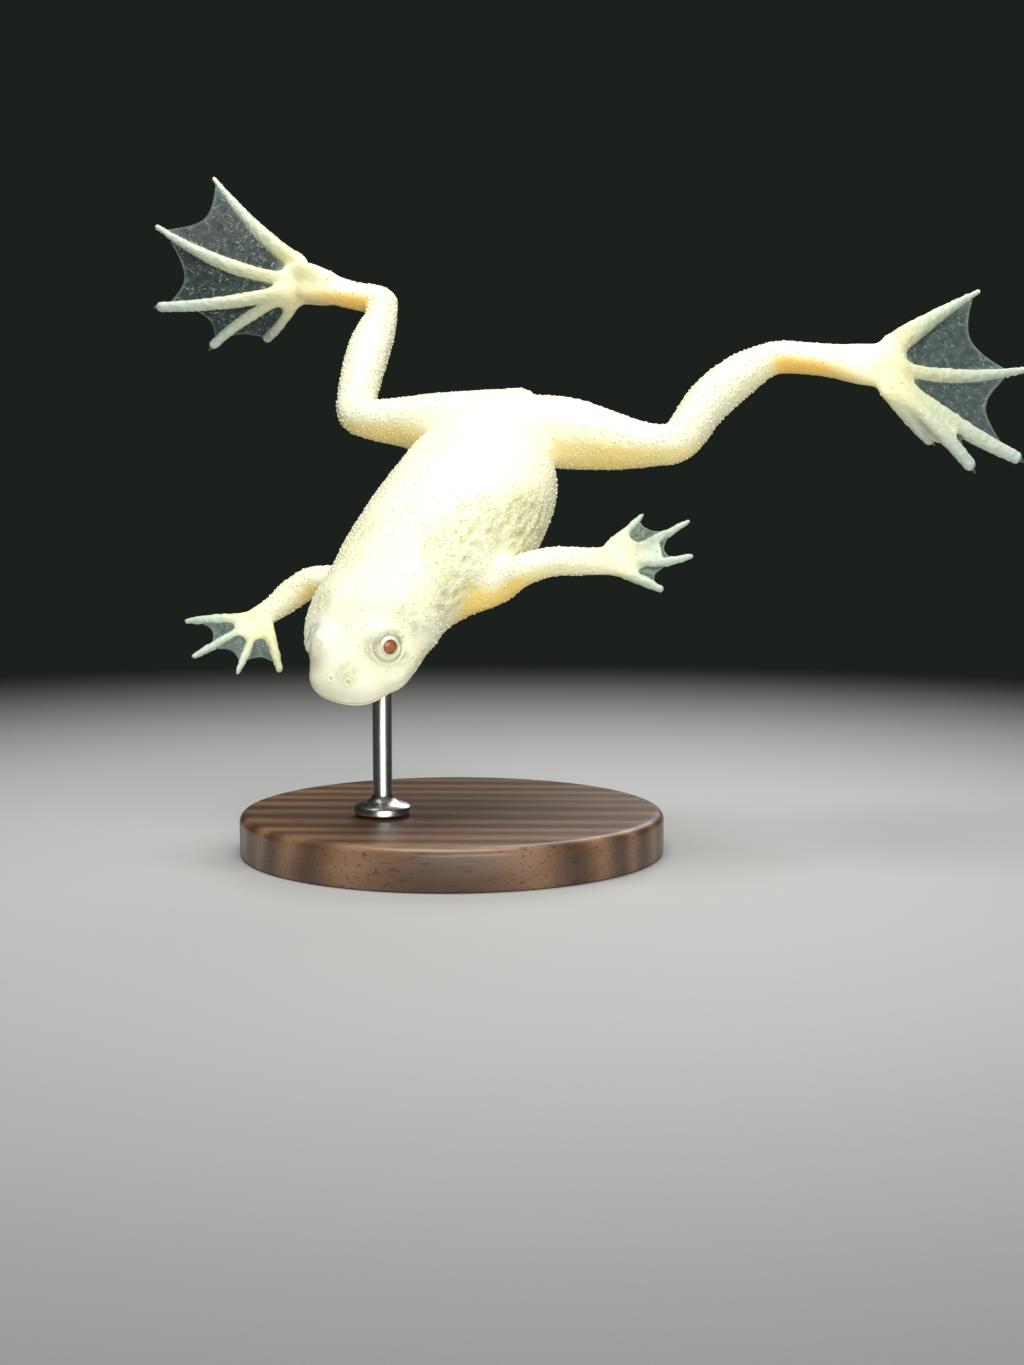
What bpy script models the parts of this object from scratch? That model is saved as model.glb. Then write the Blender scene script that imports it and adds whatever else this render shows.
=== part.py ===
"""A life-size model of a swimming African dwarf frog, diving head down over a plain display stand.

The frog is drawn in millimetres in its own body frame: +X from the pelvis to the snout,
+Y to the frog's left, +Z out of its back, with the origin in the middle of the pelvis.
An empty then tips it into its dive over the stand, whose frame is the world's.
"""

import math

import bmesh
import bpy
from mathutils import Matrix, Vector

MM = 0.001
GAP = 0.3

# Trunk and head, in millimetres
RUMP_X = -4.0
SNOUT_X = 28.9
SECTION_POWER = 2.25
SKIN_VOXEL = 0.3
SKIN_SMOOTHING = 6
SKIN_KEPT = 0.055

# The dive: where the pelvis stands over the base, and the turns that aim the body
PELVIS_PLACE = Vector((4.5, 1.5, 35.5))
HEADING_DEG = 228.1
DIVE_DEG = 46.1
ROLL_DEG = -20.6

# Eyes, lids, nostrils and mouth, in millimetres on the straight body
EYE_MOUND = Vector((24.63, 2.33, 1.28))
EYE_MOUND_RADIUS = 1.6
EYE_AXES = {1: Vector((0.3, 0.78, 0.55)), -1: Vector((0.2, 0.93, 0.3))}
EYE_LEAN = Vector((-0.19, -0.23, 0.09))
EYE_OUT = 0.85
EYE_RADIUS = 0.95
EYE_GAP = 0.17
LID_HEIGHT = 0.4
LID_WIDTH = 0.21
LID_SPREAD = 0.04
LID_TURNS = 14
LID_SIDES = 8
NOSTRIL_PLACE = (28.0, 0.75)
NOSTRIL_RADIUS = 0.15
NOSTRIL_RIM = 0.3
MOUTH_BACK_X = 22.9
MOUTH_DEG = -14.0
MOUTH_GROOVE = 0.13
LIP_RADIUS = 0.24
LIP_SUNK = 0.1
LIP_TURNS = (10.0, -12.0)

# Webbed feet and hands, in millimetres
WEB_HALF = 0.25
WEB_BASE_HALF = 0.3
WEB_OVERLAP = 0.12

# The display stand, in millimetres
BASE_RADIUS = 18.0
BASE_HEIGHT = 3.5
BASE_BEVEL = 0.7
ROD_RADIUS = 0.8
ROD_FLANGE_RADIUS = 2.4
ROD_FLANGE_HEIGHT = 1.0
ROD_PLACE = (-5.7, -3.5)
SOCKET_DEPTH = 1.6
HOLE_DEPTH = 8.0

# Trunk rows: distance along X, half width, depth of back, depth of belly, lift of the middle
TRUNK = [
    (RUMP_X, 0.5, 0.4, 0.4, 0.8),
    (-3.2, 1.9, 1.2, 1.2, 0.6),
    (-1.2, 3.7, 2.2, 2.3, 0.3),
    (1.0, 5.1, 3.1, 3.1, 0.0),
    (4.5, 6.65, 4.2, 3.9, -0.4),
    (8.5, 7.23, 5.1, 4.1, -0.9),
    (12.5, 7.23, 5.0, 3.9, -0.9),
    (16.0, 6.45, 4.3, 3.7, -0.5),
    (19.0, 5.6, 3.7, 3.4, -0.1),
    (22.0, 5.59, 3.23, 3.0, 0.0),
    (24.5, 4.82, 2.65, 2.6, -0.1),
    (26.5, 3.86, 2.1, 2.05, -0.2),
    (27.8, 3.0, 1.55, 1.4, -0.35),
    (28.6, 2.0, 0.95, 0.8, -0.45),
    (SNOUT_X, 0.6, 0.35, 0.3, -0.5),
]

# Roundness of the back's section: distance along X, power (lower is more like a roof)
CROWN = [
    (RUMP_X, 2.25),
    (17.0, 2.25),
    (20.5, 2.2),
    (23.5, 1.51),
    (26.5, 1.49),
    (SNOUT_X, 1.9),
]

# Sideways bend of the spine: distance along X, offset to the frog's left
SPINE_BEND = [
    (RUMP_X, 0.2),
    (2.0, 0.0),
    (7.0, 0.43),
    (12.0, 0.26),
    (16.0, -0.37),
    (19.0, -0.57),
    (22.0, -0.55),
    (25.0, 0.12),
    (26.5, 0.18),
    (SNOUT_X, 0.49),
]

# Limb rows: x, y, z, half width across the body's plane, half thickness
LIMBS = {
    "left_leg": [
        (-0.8, 0.6, -0.4, 3.1, 2.7),
        (-1.65, 4.5, -0.4, 3.15, 2.8),
        (-1.95, 7.1, -0.4, 2.8, 2.6),
        (-2.2, 9.8, -0.35, 2.3, 2.2),
        (-2.7, 12.3, -0.3, 1.8, 1.8),
        (-3.6, 14.3, -0.3, 1.65, 1.6),
        (-5.2, 14.7, -0.2, 1.75, 1.7),
        (-7.65, 14.95, 0.0, 1.85, 1.75),
        (-9.65, 15.55, 0.15, 1.95, 1.75),
        (-11.8, 16.6, 0.35, 1.85, 1.6),
        (-13.6, 17.9, 0.5, 1.5, 1.35),
        (-14.4, 19.3, 0.6, 1.5, 1.2),
        (-14.8, 22.0, 0.8, 1.5, 1.1),
        (-15.1, 24.4, 0.93, 1.8, 1.0),
        (-15.3, 26.4, 1.05, 2.15, 0.85),
    ],
    "right_leg": [
        (-1.0, -1.3, -0.4, 2.9, 2.7),
        (0.5, -5.0, -0.4, 2.8, 2.7),
        (1.1, -7.2, -0.4, 2.65, 2.45),
        (1.6, -9.4, -0.4, 2.15, 2.1),
        (2.2, -11.7, -0.35, 1.8, 1.8),
        (2.2, -13.8, -0.3, 1.65, 1.6),
        (0.3, -14.9, -0.35, 1.75, 1.7),
        (-2.1, -15.85, -0.4, 1.85, 1.75),
        (-4.45, -16.7, -0.45, 1.95, 1.75),
        (-6.9, -17.4, -0.5, 1.85, 1.6),
        (-9.1, -18.0, -0.55, 1.5, 1.35),
        (-10.65, -19.1, -0.42, 1.5, 1.25),
        (-10.5, -21.6, -0.25, 1.35, 1.1),
        (-10.25, -24.2, 0.13, 1.65, 1.0),
        (-10.0, -26.2, 0.45, 2.0, 0.85),
    ],
    "left_arm": [
        (16.5, 3.2, -1.3, 2.0, 1.7),
        (14.8, 6.9, -0.3, 1.75, 1.4),
        (13.4, 8.6, 0.6, 1.4, 1.25),
        (12.3, 9.9, 0.8, 1.25, 1.15),
        (11.2, 11.1, 0.4, 1.22, 1.1),
        (9.95, 13.05, -0.3, 1.27, 0.95),
        (8.8, 14.45, -1.0, 1.42, 0.75),
    ],
    "right_arm": [
        (17.3, -3.2, -1.0, 1.8, 1.7),
        (18.4, -6.6, -1.2, 1.4, 1.4),
        (19.0, -8.6, -1.5, 1.3, 1.3),
        (20.3, -9.8, -1.9, 1.3, 1.2),
        (21.5, -10.4, -2.1, 1.15, 1.1),
        (22.6, -10.9, -2.1, 1.05, 0.95),
        (23.5, -11.3, -2.0, 1.15, 0.75),
    ],
}

# Thin cuts that part the body: place on the limb, direction the cut faces, radius of the cutting disc
CUTS = {
    "neck": ((21.8, -0.4, 0.0), (1.0, 0.0, 0.0), 6.0),
    "left_hip": ((-1.7, 5.9, -0.4), (-0.3, 0.95, 0.0), 3.7),
    "left_knee": ((-3.6, 14.3, -0.3), (-0.72, 0.69, 0.0), 3.4),
    "left_ankle": ((-14.1, 18.5, 0.55), (-0.55, 0.83, 0.1), 2.4),
    "left_heel": ((-15.25, 25.4, 0.9), (-0.07, 1.0, 0.05), 2.6),
    "right_hip": ((0.8, -6.3, -0.4), (-0.2, -0.97, 0.0), 3.6),
    "right_knee": ((2.1, -13.8, -0.3), (-0.6, -0.8, 0.0), 3.2),
    "right_ankle": ((-10.0, -18.4, -0.5), (-0.55, -0.83, 0.1), 2.4),
    "right_heel": ((-10.05, -25.2, 0.25), (0.15, -0.97, 0.15), 2.6),
    "left_shoulder": ((14.05, 7.95, 0.2), (-0.2, 1.0, 0.1), 2.6),
    "left_elbow": ((12.1, 10.0, 0.8), (-0.65, 0.75, -0.1), 2.0),
    "left_wrist": ((8.9, 13.9, -0.9), (-0.5, 0.83, -0.2), 2.0),
    "right_shoulder": ((18.5, -7.0, -1.25), (0.15, -0.98, -0.1), 2.2),
    "right_elbow": ((20.3, -9.8, -1.9), (0.75, -0.65, -0.2), 2.0),
    "right_wrist": ((23.1, -11.15, -2.05), (0.9, -0.42, 0.1), 2.0),
}

# A point inside each piece of the parted body
PIECES = {
    "torso": (9.0, 0.0, 0.0),
    "head": (25.5, 0.0, 0.0),
    "thigh_left": (-2.1, 9.8, -0.4),
    "shank_left": (-9.6, 15.6, 0.1),
    "tarsus_left": (-14.9, 22.0, 0.7),
    "thigh_right": (1.6, -9.8, -0.4),
    "shank_right": (-4.4, -16.7, -0.4),
    "tarsus_right": (-10.4, -22.0, -0.2),
    "upper_arm_left": (13.3, 8.6, 0.5),
    "forearm_left": (10.4, 12.0, 0.0),
    "upper_arm_right": (19.2, -8.4, -1.5),
    "forearm_right": (21.8, -10.5, -2.1),
}

# Toes and fingers: base, middle and tip, then the half width at each of the three
DIGITS = {
    "foot_left": [
        ((-13.2, 28.3, 0.8), (-13.0, 30.5, -1.0), (-13.2, 32.4, -3.7), (0.75, 0.52, 0.38)),
        ((-13.9, 28.7, 0.85), (-12.9, 33.1, -1.7), (-12.2, 36.2, -4.5), (0.75, 0.54, 0.38)),
        ((-14.7, 28.7, 0.95), (-14.5, 33.6, -2.4), (-15.4, 39.0, -6.0), (0.85, 0.66, 0.42)),
        ((-15.9, 28.4, 0.95), (-19.1, 32.1, -2.4), (-25.4, 36.6, -6.3), (0.8, 0.62, 0.28)),
        ((-17.35, 27.4, 0.95), (-22.35, 28.55, -0.4), (-29.3, 30.7, -2.5), (1.1, 0.64, 0.26)),
    ],
    "foot_right": [
        ((-8.9, -26.4, 0.3), (-6.95, -28.1, -2.0), (-6.6, -30.6, -4.6), (0.7, 0.46, 0.36)),
        ((-8.6, -27.0, 0.4), (-5.5, -30.7, -0.85), (-2.6, -33.4, -2.5), (0.7, 0.48, 0.34)),
        ((-9.1, -27.3, 0.5), (-5.35, -31.7, 1.0), (-2.55, -38.2, 1.1), (0.75, 0.55, 0.38)),
        ((-9.9, -27.7, 0.6), (-8.0, -33.6, 2.75), (-8.9, -41.5, 4.6), (0.75, 0.58, 0.28)),
        ((-11.6, -27.8, 0.7), (-12.5, -32.4, 2.8), (-16.25, -39.7, 4.65), (1.0, 0.62, 0.27)),
    ],
    "hand_left": [
        ((9.4, 14.65, -1.1), (9.9, 17.3, -0.8), (10.1, 19.3, -1.0), (0.6, 0.38, 0.27)),
        ((8.7, 14.9, -1.0), (8.2, 18.0, -0.5), (6.7, 20.5, -0.4), (0.5, 0.36, 0.26)),
        ((8.1, 14.7, -1.0), (6.3, 17.1, -0.2), (3.95, 19.0, 0.15), (0.5, 0.36, 0.24)),
        ((7.8, 13.85, -0.9), (5.9, 14.3, -0.85), (3.6, 14.6, -1.1), (0.65, 0.4, 0.24)),
    ],
    "hand_right": [
        ((23.75, -10.4, -2.0), (25.5, -8.6, -2.3), (26.8, -7.4, -3.0), (0.6, 0.37, 0.26)),
        ((24.3, -11.0, -2.0), (26.9, -10.0, -1.4), (29.2, -9.4, -1.2), (0.45, 0.35, 0.24)),
        ((24.2, -11.6, -2.0), (26.7, -12.4, -1.3), (29.2, -13.7, -1.0), (0.45, 0.35, 0.24)),
        ((23.8, -12.0, -2.0), (25.0, -14.0, -1.4), (26.3, -16.5, -1.2), (0.55, 0.4, 0.24)),
    ],
}

# How far along its two digits each web is joined, and how deep its free edge is hollowed
WEBS = {
    "foot_left": [(0.96, 0.72, 0.17), (0.95, 0.75, 0.17), (0.93, 0.88, 0.17), (0.88, 0.93, 0.17)],
    "foot_right": [(0.96, 0.86, 0.1), (0.95, 0.82, 0.1), (0.93, 0.92, 0.13), (0.93, 0.95, 0.13)],
    "hand_left": [(0.85, 0.75, 0.17), (0.76, 0.74, 0.17), (0.72, 0.85, 0.15)],
    "hand_right": [(0.85, 0.75, 0.17), (0.78, 0.74, 0.17), (0.72, 0.85, 0.17)],
}

# How far back towards the heel each digit is rooted, and the rings that round or point its end:
# share of the end's width, and reach in end thicknesses
DIGIT_ROOT = 0.8
CLAWED_TOES = 3
TIP_DOMES = ((0.65, 0.75),)
CLAW_DOMES = ((0.8, 0.4), (0.42, 1.0), (0.12, 1.9))
PALM_DOMES = ((0.7, 1.0), (0.3, 1.6))
PALM_REACH = 0.55
PALM_SPREAD = 0.8

# The block that trims a foot or hand to its limb: its depth, and its width over the cutting disc's
LIMB_TRIM = 6.0
TRIM_SPREAD = 1.7

# Rows from the palm to the free edge, and columns across, in each web's mesh
WEB_GRID = {"foot": (4, 5), "hand": (3, 4)}

# Each foot's or hand's limb, the cut that parts them, and the palm's half width and half thickness
ENDS = {
    "foot_left": ("left_leg", "left_heel", 1.9, 0.7),
    "foot_right": ("right_leg", "right_heel", 2.1, 0.75),
    "hand_left": ("left_arm", "left_wrist", 1.25, 0.6),
    "hand_right": ("right_arm", "right_wrist", 1.2, 0.55),
}

COLOURS = {
    "skin": ((0.86, 0.78, 0.60), 0.45, 0.0),
    "web": ((0.55, 0.58, 0.55), 0.35, 0.0),
    "eye": ((0.55, 0.30, 0.18), 0.12, 0.0),
    "wood": ((0.10, 0.055, 0.03), 0.4, 0.0),
    "steel": ((0.62, 0.62, 0.60), 0.3, 1.0),
}


def clear_scene():
    for obj in list(bpy.data.objects):
        bpy.data.objects.remove(obj)


def material(kind):
    name = "frog_" + kind
    found = bpy.data.materials.get(name)
    if found:
        return found
    colour, roughness, metallic = COLOURS[kind]
    made = bpy.data.materials.new(name)
    made.use_nodes = True
    shader = made.node_tree.nodes["Principled BSDF"]
    shader.inputs["Base Color"].default_value = (*colour, 1.0)
    shader.inputs["Roughness"].default_value = roughness
    shader.inputs["Metallic"].default_value = metallic
    return made


def ease(table, place):
    """Read the columns of a table at a place, along a smooth curve through its rows."""
    places = [row[0] for row in table]
    place = min(max(place, places[0]), places[-1])
    i = max(k for k in range(len(places) - 1) if places[k] <= place)
    span = places[i + 1] - places[i]
    t = (place - places[i]) / span

    def slope(k, column):
        a, b = max(k - 1, 0), min(k + 1, len(table) - 1)
        return (table[b][column] - table[a][column]) / (places[b] - places[a])

    values = []
    for column in range(1, len(table[0])):
        start, end = table[i][column], table[i + 1][column]
        leave, arrive = slope(i, column) * span, slope(i + 1, column) * span
        values.append((2 * t**3 - 3 * t**2 + 1) * start + (t**3 - 2 * t**2 + t) * leave
                      + (3 * t**2 - 2 * t**3) * end + (t**3 - t**2) * arrive)
    return values


def along_spine(x, y, z):
    """Carry a point of the straight body onto the bent one."""
    step = 0.2
    ahead, behind = ease(SPINE_BEND, x + step)[0], ease(SPINE_BEND, x - step)[0]
    turn = math.atan2(ahead - behind, 2 * step)
    return Vector((x - y * math.sin(turn), ease(SPINE_BEND, x)[0] + y * math.cos(turn), z))


def skin_point(x, degrees):
    """A point on the trunk's or head's surface, from its left side (0) over its back (90)."""
    wide, back, belly, lift = ease(TRUNK, x)
    c, s = math.cos(math.radians(degrees)), math.sin(math.radians(degrees))
    power = ease(CROWN, x)[0] if s > 0 else SECTION_POWER
    y = wide * math.copysign(abs(c) ** (2 / power), c)
    z = (back if s > 0 else belly) * math.copysign(abs(s) ** (2 / power), s)
    return along_spine(x, y, z + lift)


def mesh_object(name, bm):
    """Close a bmesh's book: faces outward, into a mesh, into an object of the scene."""
    bmesh.ops.recalc_face_normals(bm, faces=bm.faces)
    mesh = bpy.data.meshes.new(name)
    bm.to_mesh(mesh)
    bm.free()
    obj = bpy.data.objects.new(name, mesh)
    bpy.context.scene.collection.objects.link(obj)
    return obj


def loft(name, rings):
    """Join rings of equally many points into one closed skin."""
    bm = bmesh.new()
    rows = [[bm.verts.new(p) for p in ring] for ring in rings]
    count = len(rings[0])
    for a, b in zip(rows, rows[1:]):
        for k in range(count):
            bm.faces.new((a[k], a[(k + 1) % count], b[(k + 1) % count], b[k]))
    bm.faces.new(rows[0])
    bm.faces.new(rows[-1])
    return mesh_object(name, bm)


def curve_through(rows, steps):
    """Rows of numbers along a smooth curve through the given rows."""
    rows = [list(row) for row in rows]
    first = [2 * a - b for a, b in zip(rows[0], rows[1])]
    last = [2 * a - b for a, b in zip(rows[-1], rows[-2])]
    padded = [first] + rows + [last]
    found = []
    for i in range(1, len(padded) - 2):
        for k in range(steps):
            t = k / steps
            found.append([
                0.5 * (2 * b + (c - a) * t + (2 * a - 5 * b + 4 * c - d) * t**2
                       + (3 * b - a - 3 * c + d) * t**3)
                for a, b, c, d in zip(*padded[i - 1:i + 3])
            ])
    return found + [rows[-1]]


def tube(name, rows, sides, steps, up=Vector((0, 0, 1)), domes=((0.75, 0.6), (0.3, 0.92))):
    """A limb through rows of x, y, z, half width and half thickness, its ends closed by domes.

    Each ring of a dome is given by its share of the end's size and how far out it stands.
    """
    path = curve_through(rows, steps)
    places = [Vector(row[:3]) for row in path]
    rings = []
    for k, row in enumerate(path):
        ahead = places[min(k + 1, len(path) - 1)] - places[max(k - 1, 0)]
        side = up.cross(ahead).normalized()
        top = ahead.cross(side).normalized()
        rings.append([places[k] + side * (row[3] * math.cos(a)) + top * (row[4] * math.sin(a))
                      for a in (2 * math.pi * j / sides for j in range(sides))])
    for end, near in ((0, 1), (-1, -2)):
        out = (places[end] - places[near]).normalized() * path[end][4]
        rim = rings[end]
        for share, reach in domes:
            ring = [places[end] + (p - places[end]) * share + out * reach for p in rim]
            rings = [ring] + rings if end == 0 else rings + [ring]
    return loft(name, rings)


def ball(name, place, radius, segments=20):
    bm = bmesh.new()
    bmesh.ops.create_uvsphere(bm, u_segments=segments, v_segments=segments // 2, radius=radius,
                              matrix=Matrix.Translation(place))
    return mesh_object(name, bm)


def facing(place, direction):
    """A frame at a place whose +Z looks along a direction."""
    return Matrix.Translation(place) @ Vector(direction).to_track_quat("Z", "Y").to_matrix().to_4x4()


def disc(name, place, direction, radius, height):
    bm = bmesh.new()
    bmesh.ops.create_cone(bm, cap_ends=True, segments=32, radius1=radius, radius2=radius, depth=height,
                          matrix=facing(place, direction))
    return mesh_object(name, bm)


def apply_modifiers(obj):
    graph = bpy.context.evaluated_depsgraph_get()
    mesh = bpy.data.meshes.new_from_object(obj.evaluated_get(graph))
    obj.modifiers.clear()
    obj.data = mesh


def combine(obj, others, operation):
    """One Boolean of an object with a collection of others, which are then removed."""
    group = bpy.data.collections.new("tools")
    bpy.context.scene.collection.children.link(group)
    for other in others:
        bpy.context.scene.collection.objects.unlink(other)
        group.objects.link(other)
    joining = obj.modifiers.new("combine", "BOOLEAN")
    joining.operation = operation
    joining.operand_type = "COLLECTION"
    joining.collection = group
    joining.solver = "MANIFOLD"
    apply_modifiers(obj)
    for other in others:
        bpy.data.objects.remove(other)
    bpy.data.collections.remove(group)
    return obj


def islands(bm):
    """The mesh's separate closed surfaces, as lists of faces."""
    left = set(bm.faces)
    found = []
    while left:
        seed = left.pop()
        group, edge = [seed], [seed]
        while edge:
            for near in {f for e in edge.pop().edges if len(e.link_faces) == 2 for f in e.link_faces}:
                if near in left:
                    left.remove(near)
                    group.append(near)
                    edge.append(near)
        found.append(group)
    return found


def keep_largest(obj):
    """Drop every loose scrap and sealed hollow but the largest closed surface."""
    bm = bmesh.new()
    bm.from_mesh(obj.data)
    bmesh.ops.remove_doubles(bm, verts=bm.verts, dist=0.0005)
    bmesh.ops.triangulate(bm, faces=bm.faces)
    groups = sorted(islands(bm), key=lambda group: sum(face.calc_area() for face in group))
    bmesh.ops.delete(bm, geom=[face for group in groups[:-1] for face in group], context="FACES")
    bmesh.ops.delete(bm, geom=[v for v in bm.verts if not v.link_faces], context="VERTS")
    bm.to_mesh(obj.data)
    bm.free()
    return obj


def trunk_and_head():
    rings = []
    count, sides = 56, 32
    for k in range(count + 1):
        x = RUMP_X + (SNOUT_X - RUMP_X) * k / count
        rings.append([skin_point(x, 360 * j / sides) for j in range(sides)])
    return loft("trunk", rings)


def eye_place(side, out):
    """A point out along the eye's own axis from the middle of its mound."""
    x, y, z = EYE_MOUND + EYE_AXES[side] * out
    return along_spine(x + side * EYE_LEAN.x, side * y + EYE_LEAN.y, z + side * EYE_LEAN.z)


def body():
    """The whole body but feet and hands, blended into one smooth skin."""
    whole = trunk_and_head()
    pieces = [tube(name, rows, 16, 3) for name, rows in LIMBS.items()]
    pieces += [ball("eye_mound", eye_place(side, 0), EYE_MOUND_RADIUS) for side in (1, -1)]
    combine(whole, pieces, "UNION")
    blend = whole.modifiers.new("blend", "REMESH")
    blend.mode = "VOXEL"
    blend.voxel_size = SKIN_VOXEL
    smooth = whole.modifiers.new("smooth", "SMOOTH")
    smooth.iterations = SKIN_SMOOTHING
    thin = whole.modifiers.new("thin", "DECIMATE")
    thin.ratio = SKIN_KEPT
    apply_modifiers(whole)
    return whole


def part_body(whole):
    """Cut the body at its joints and hand each closed piece its name."""
    combine(whole, [disc(name, *cut, GAP) for name, cut in CUTS.items()], "DIFFERENCE")
    bm = bmesh.new()
    bm.from_mesh(whole.data)
    bpy.data.objects.remove(whole)
    groups = islands(bm)
    middles = []
    for group in groups:
        corners = {v for face in group for v in face.verts}
        middles.append(sum((v.co for v in corners), Vector()) / len(corners))
    pieces = {}
    for name, place in PIECES.items():
        nearest = min(range(len(groups)), key=lambda k: (middles[k] - Vector(place)).length)
        piece = bmesh.new()
        corners = {}
        for face in groups[nearest]:
            for v in face.verts:
                if v not in corners:
                    corners[v] = piece.verts.new(v.co)
            piece.faces.new([corners[v] for v in face.verts])
        pieces[name] = keep_largest(mesh_object(name, piece))
    bm.free()
    return pieces


def on_skin(head, point, out=0.0):
    """The nearest point of the head's surface, moved out along its normal."""
    _, place, normal, _ = head.closest_point_on_mesh(point)
    return place + normal * out


def mouth_path(head, degrees, radius, out):
    """Rows round the snout from one corner of the mouth to the other, thinner at the corners."""
    xs = [MOUTH_BACK_X, 24.1, 25.4, 26.5, 27.3, 27.95, 28.4, 28.7]
    left = [skin_point(x, degrees) for x in xs]
    right = [skin_point(x, 180 - degrees) for x in reversed(xs)]
    front = along_spine(SNOUT_X, 0, ease(TRUNK, SNOUT_X)[3] + 0.35 * math.sin(math.radians(degrees)))
    points = left + [front] + right
    rows = []
    for k, point in enumerate(points):
        size = radius * min(1.0, 0.4 + 0.3 * min(k, len(points) - 1 - k))
        rows.append((*on_skin(head, point, out), size, size))
    return rows


def head_features(head):
    """Lips, mouth line, lids and nostrils on the head, and the sockets of its eyes."""
    added = [tube("lip", mouth_path(head, MOUTH_DEG + turn, LIP_RADIUS, -LIP_SUNK), 6, 1)
             for turn in LIP_TURNS]
    taken = [tube("mouth", mouth_path(head, MOUTH_DEG, MOUTH_GROOVE, 0.0), 4, 1)]
    for side in (1, -1):
        place = eye_place(side, EYE_OUT + LID_HEIGHT)
        axis = eye_place(side, EYE_OUT + 1) - eye_place(side, EYE_OUT)
        rim = math.sqrt((EYE_RADIUS + EYE_GAP) ** 2 - LID_HEIGHT ** 2)
        frame = facing(place, axis)
        rings = []
        bm = bmesh.new()
        for k in range(LID_TURNS):
            a = 2 * math.pi * k / LID_TURNS
            middle = Vector((math.cos(a), math.sin(a), 0)) * (rim + LID_SPREAD)
            out = middle.normalized()
            rings.append([bm.verts.new(frame @ (middle + out * (LID_WIDTH * math.cos(b))
                                                + Vector((0, 0, LID_WIDTH * math.sin(b)))))
                          for b in (2 * math.pi * j / LID_SIDES for j in range(LID_SIDES))])
        for k in range(LID_TURNS):
            for j in range(LID_SIDES):
                a, b, next_j = rings[k], rings[(k + 1) % LID_TURNS], (j + 1) % LID_SIDES
                bm.faces.new((a[j], a[next_j], b[next_j], b[j]))
        added.append(mesh_object("lid", bm))
        taken.append(ball("socket", eye_place(side, EYE_OUT), EYE_RADIUS + EYE_GAP, 18))
        x, y = NOSTRIL_PLACE
        above = along_spine(x, side * y, ease(TRUNK, x)[1] + ease(TRUNK, x)[3])
        added.append(ball("nostril_rim", on_skin(head, above, -NOSTRIL_RADIUS), NOSTRIL_RIM, 12))
        taken.append(ball("nostril", on_skin(head, above, NOSTRIL_RADIUS), NOSTRIL_RADIUS, 8))
    combine(head, added, "UNION")
    combine(head, taken, "DIFFERENCE")
    return keep_largest(head)


def web(name, near, far, joins, rows, across):
    """A thin membrane between two digits, hollowed along its free edge."""
    sheet = []
    for r in range(rows + 1):
        line = []
        for c in range(across + 1):
            reach = (r / rows) * (1 - joins[2] * math.sin(math.pi * c / across))
            a, b = curve_point(near, reach * joins[0]), curve_point(far, reach * joins[1])
            past = WEB_OVERLAP / (b - a).length
            line.append(a.lerp(b, c / across * (1 + 2 * past) - past))
        sheet.append(line)
    bm = bmesh.new()
    faces = []
    for face in (1, -1):
        grid = []
        for r in range(rows + 1):
            half = WEB_HALF + (WEB_BASE_HALF - WEB_HALF) * (1 - r / rows)
            line = []
            for c in range(across + 1):
                along = sheet[min(r + 1, rows)][c] - sheet[max(r - 1, 0)][c]
                over = sheet[r][min(c + 1, across)] - sheet[r][max(c - 1, 0)]
                line.append(bm.verts.new(sheet[r][c] + along.cross(over).normalized() * (half * face)))
            grid.append(line)
        faces.append(grid)
    for grid in faces:
        for r in range(rows):
            for c in range(across):
                a, b, d, e = grid[r][c], grid[r][c + 1], grid[r + 1][c + 1], grid[r + 1][c]
                bm.faces.new((a, b, d))
                bm.faces.new((a, d, e))
    edge = [(0, c) for c in range(across)] + [(r, across) for r in range(rows)]
    edge += [(rows, c) for c in range(across, 0, -1)] + [(r, 0) for r in range(rows, 0, -1)]
    for (r, c), (r2, c2) in zip(edge, edge[1:] + edge[:1]):
        bm.faces.new((faces[0][r][c], faces[0][r2][c2], faces[1][r2][c2], faces[1][r][c]))
    return mesh_object(name, bm)


def curve_point(digit, share):
    """A point along a digit's centre line, which bends through its middle."""
    base, middle, tip = (Vector(p) for p in digit[:3])
    handle = 2 * middle - (base + tip) / 2
    return base * (1 - share) ** 2 + handle * (2 * share * (1 - share)) + tip * share ** 2


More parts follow.
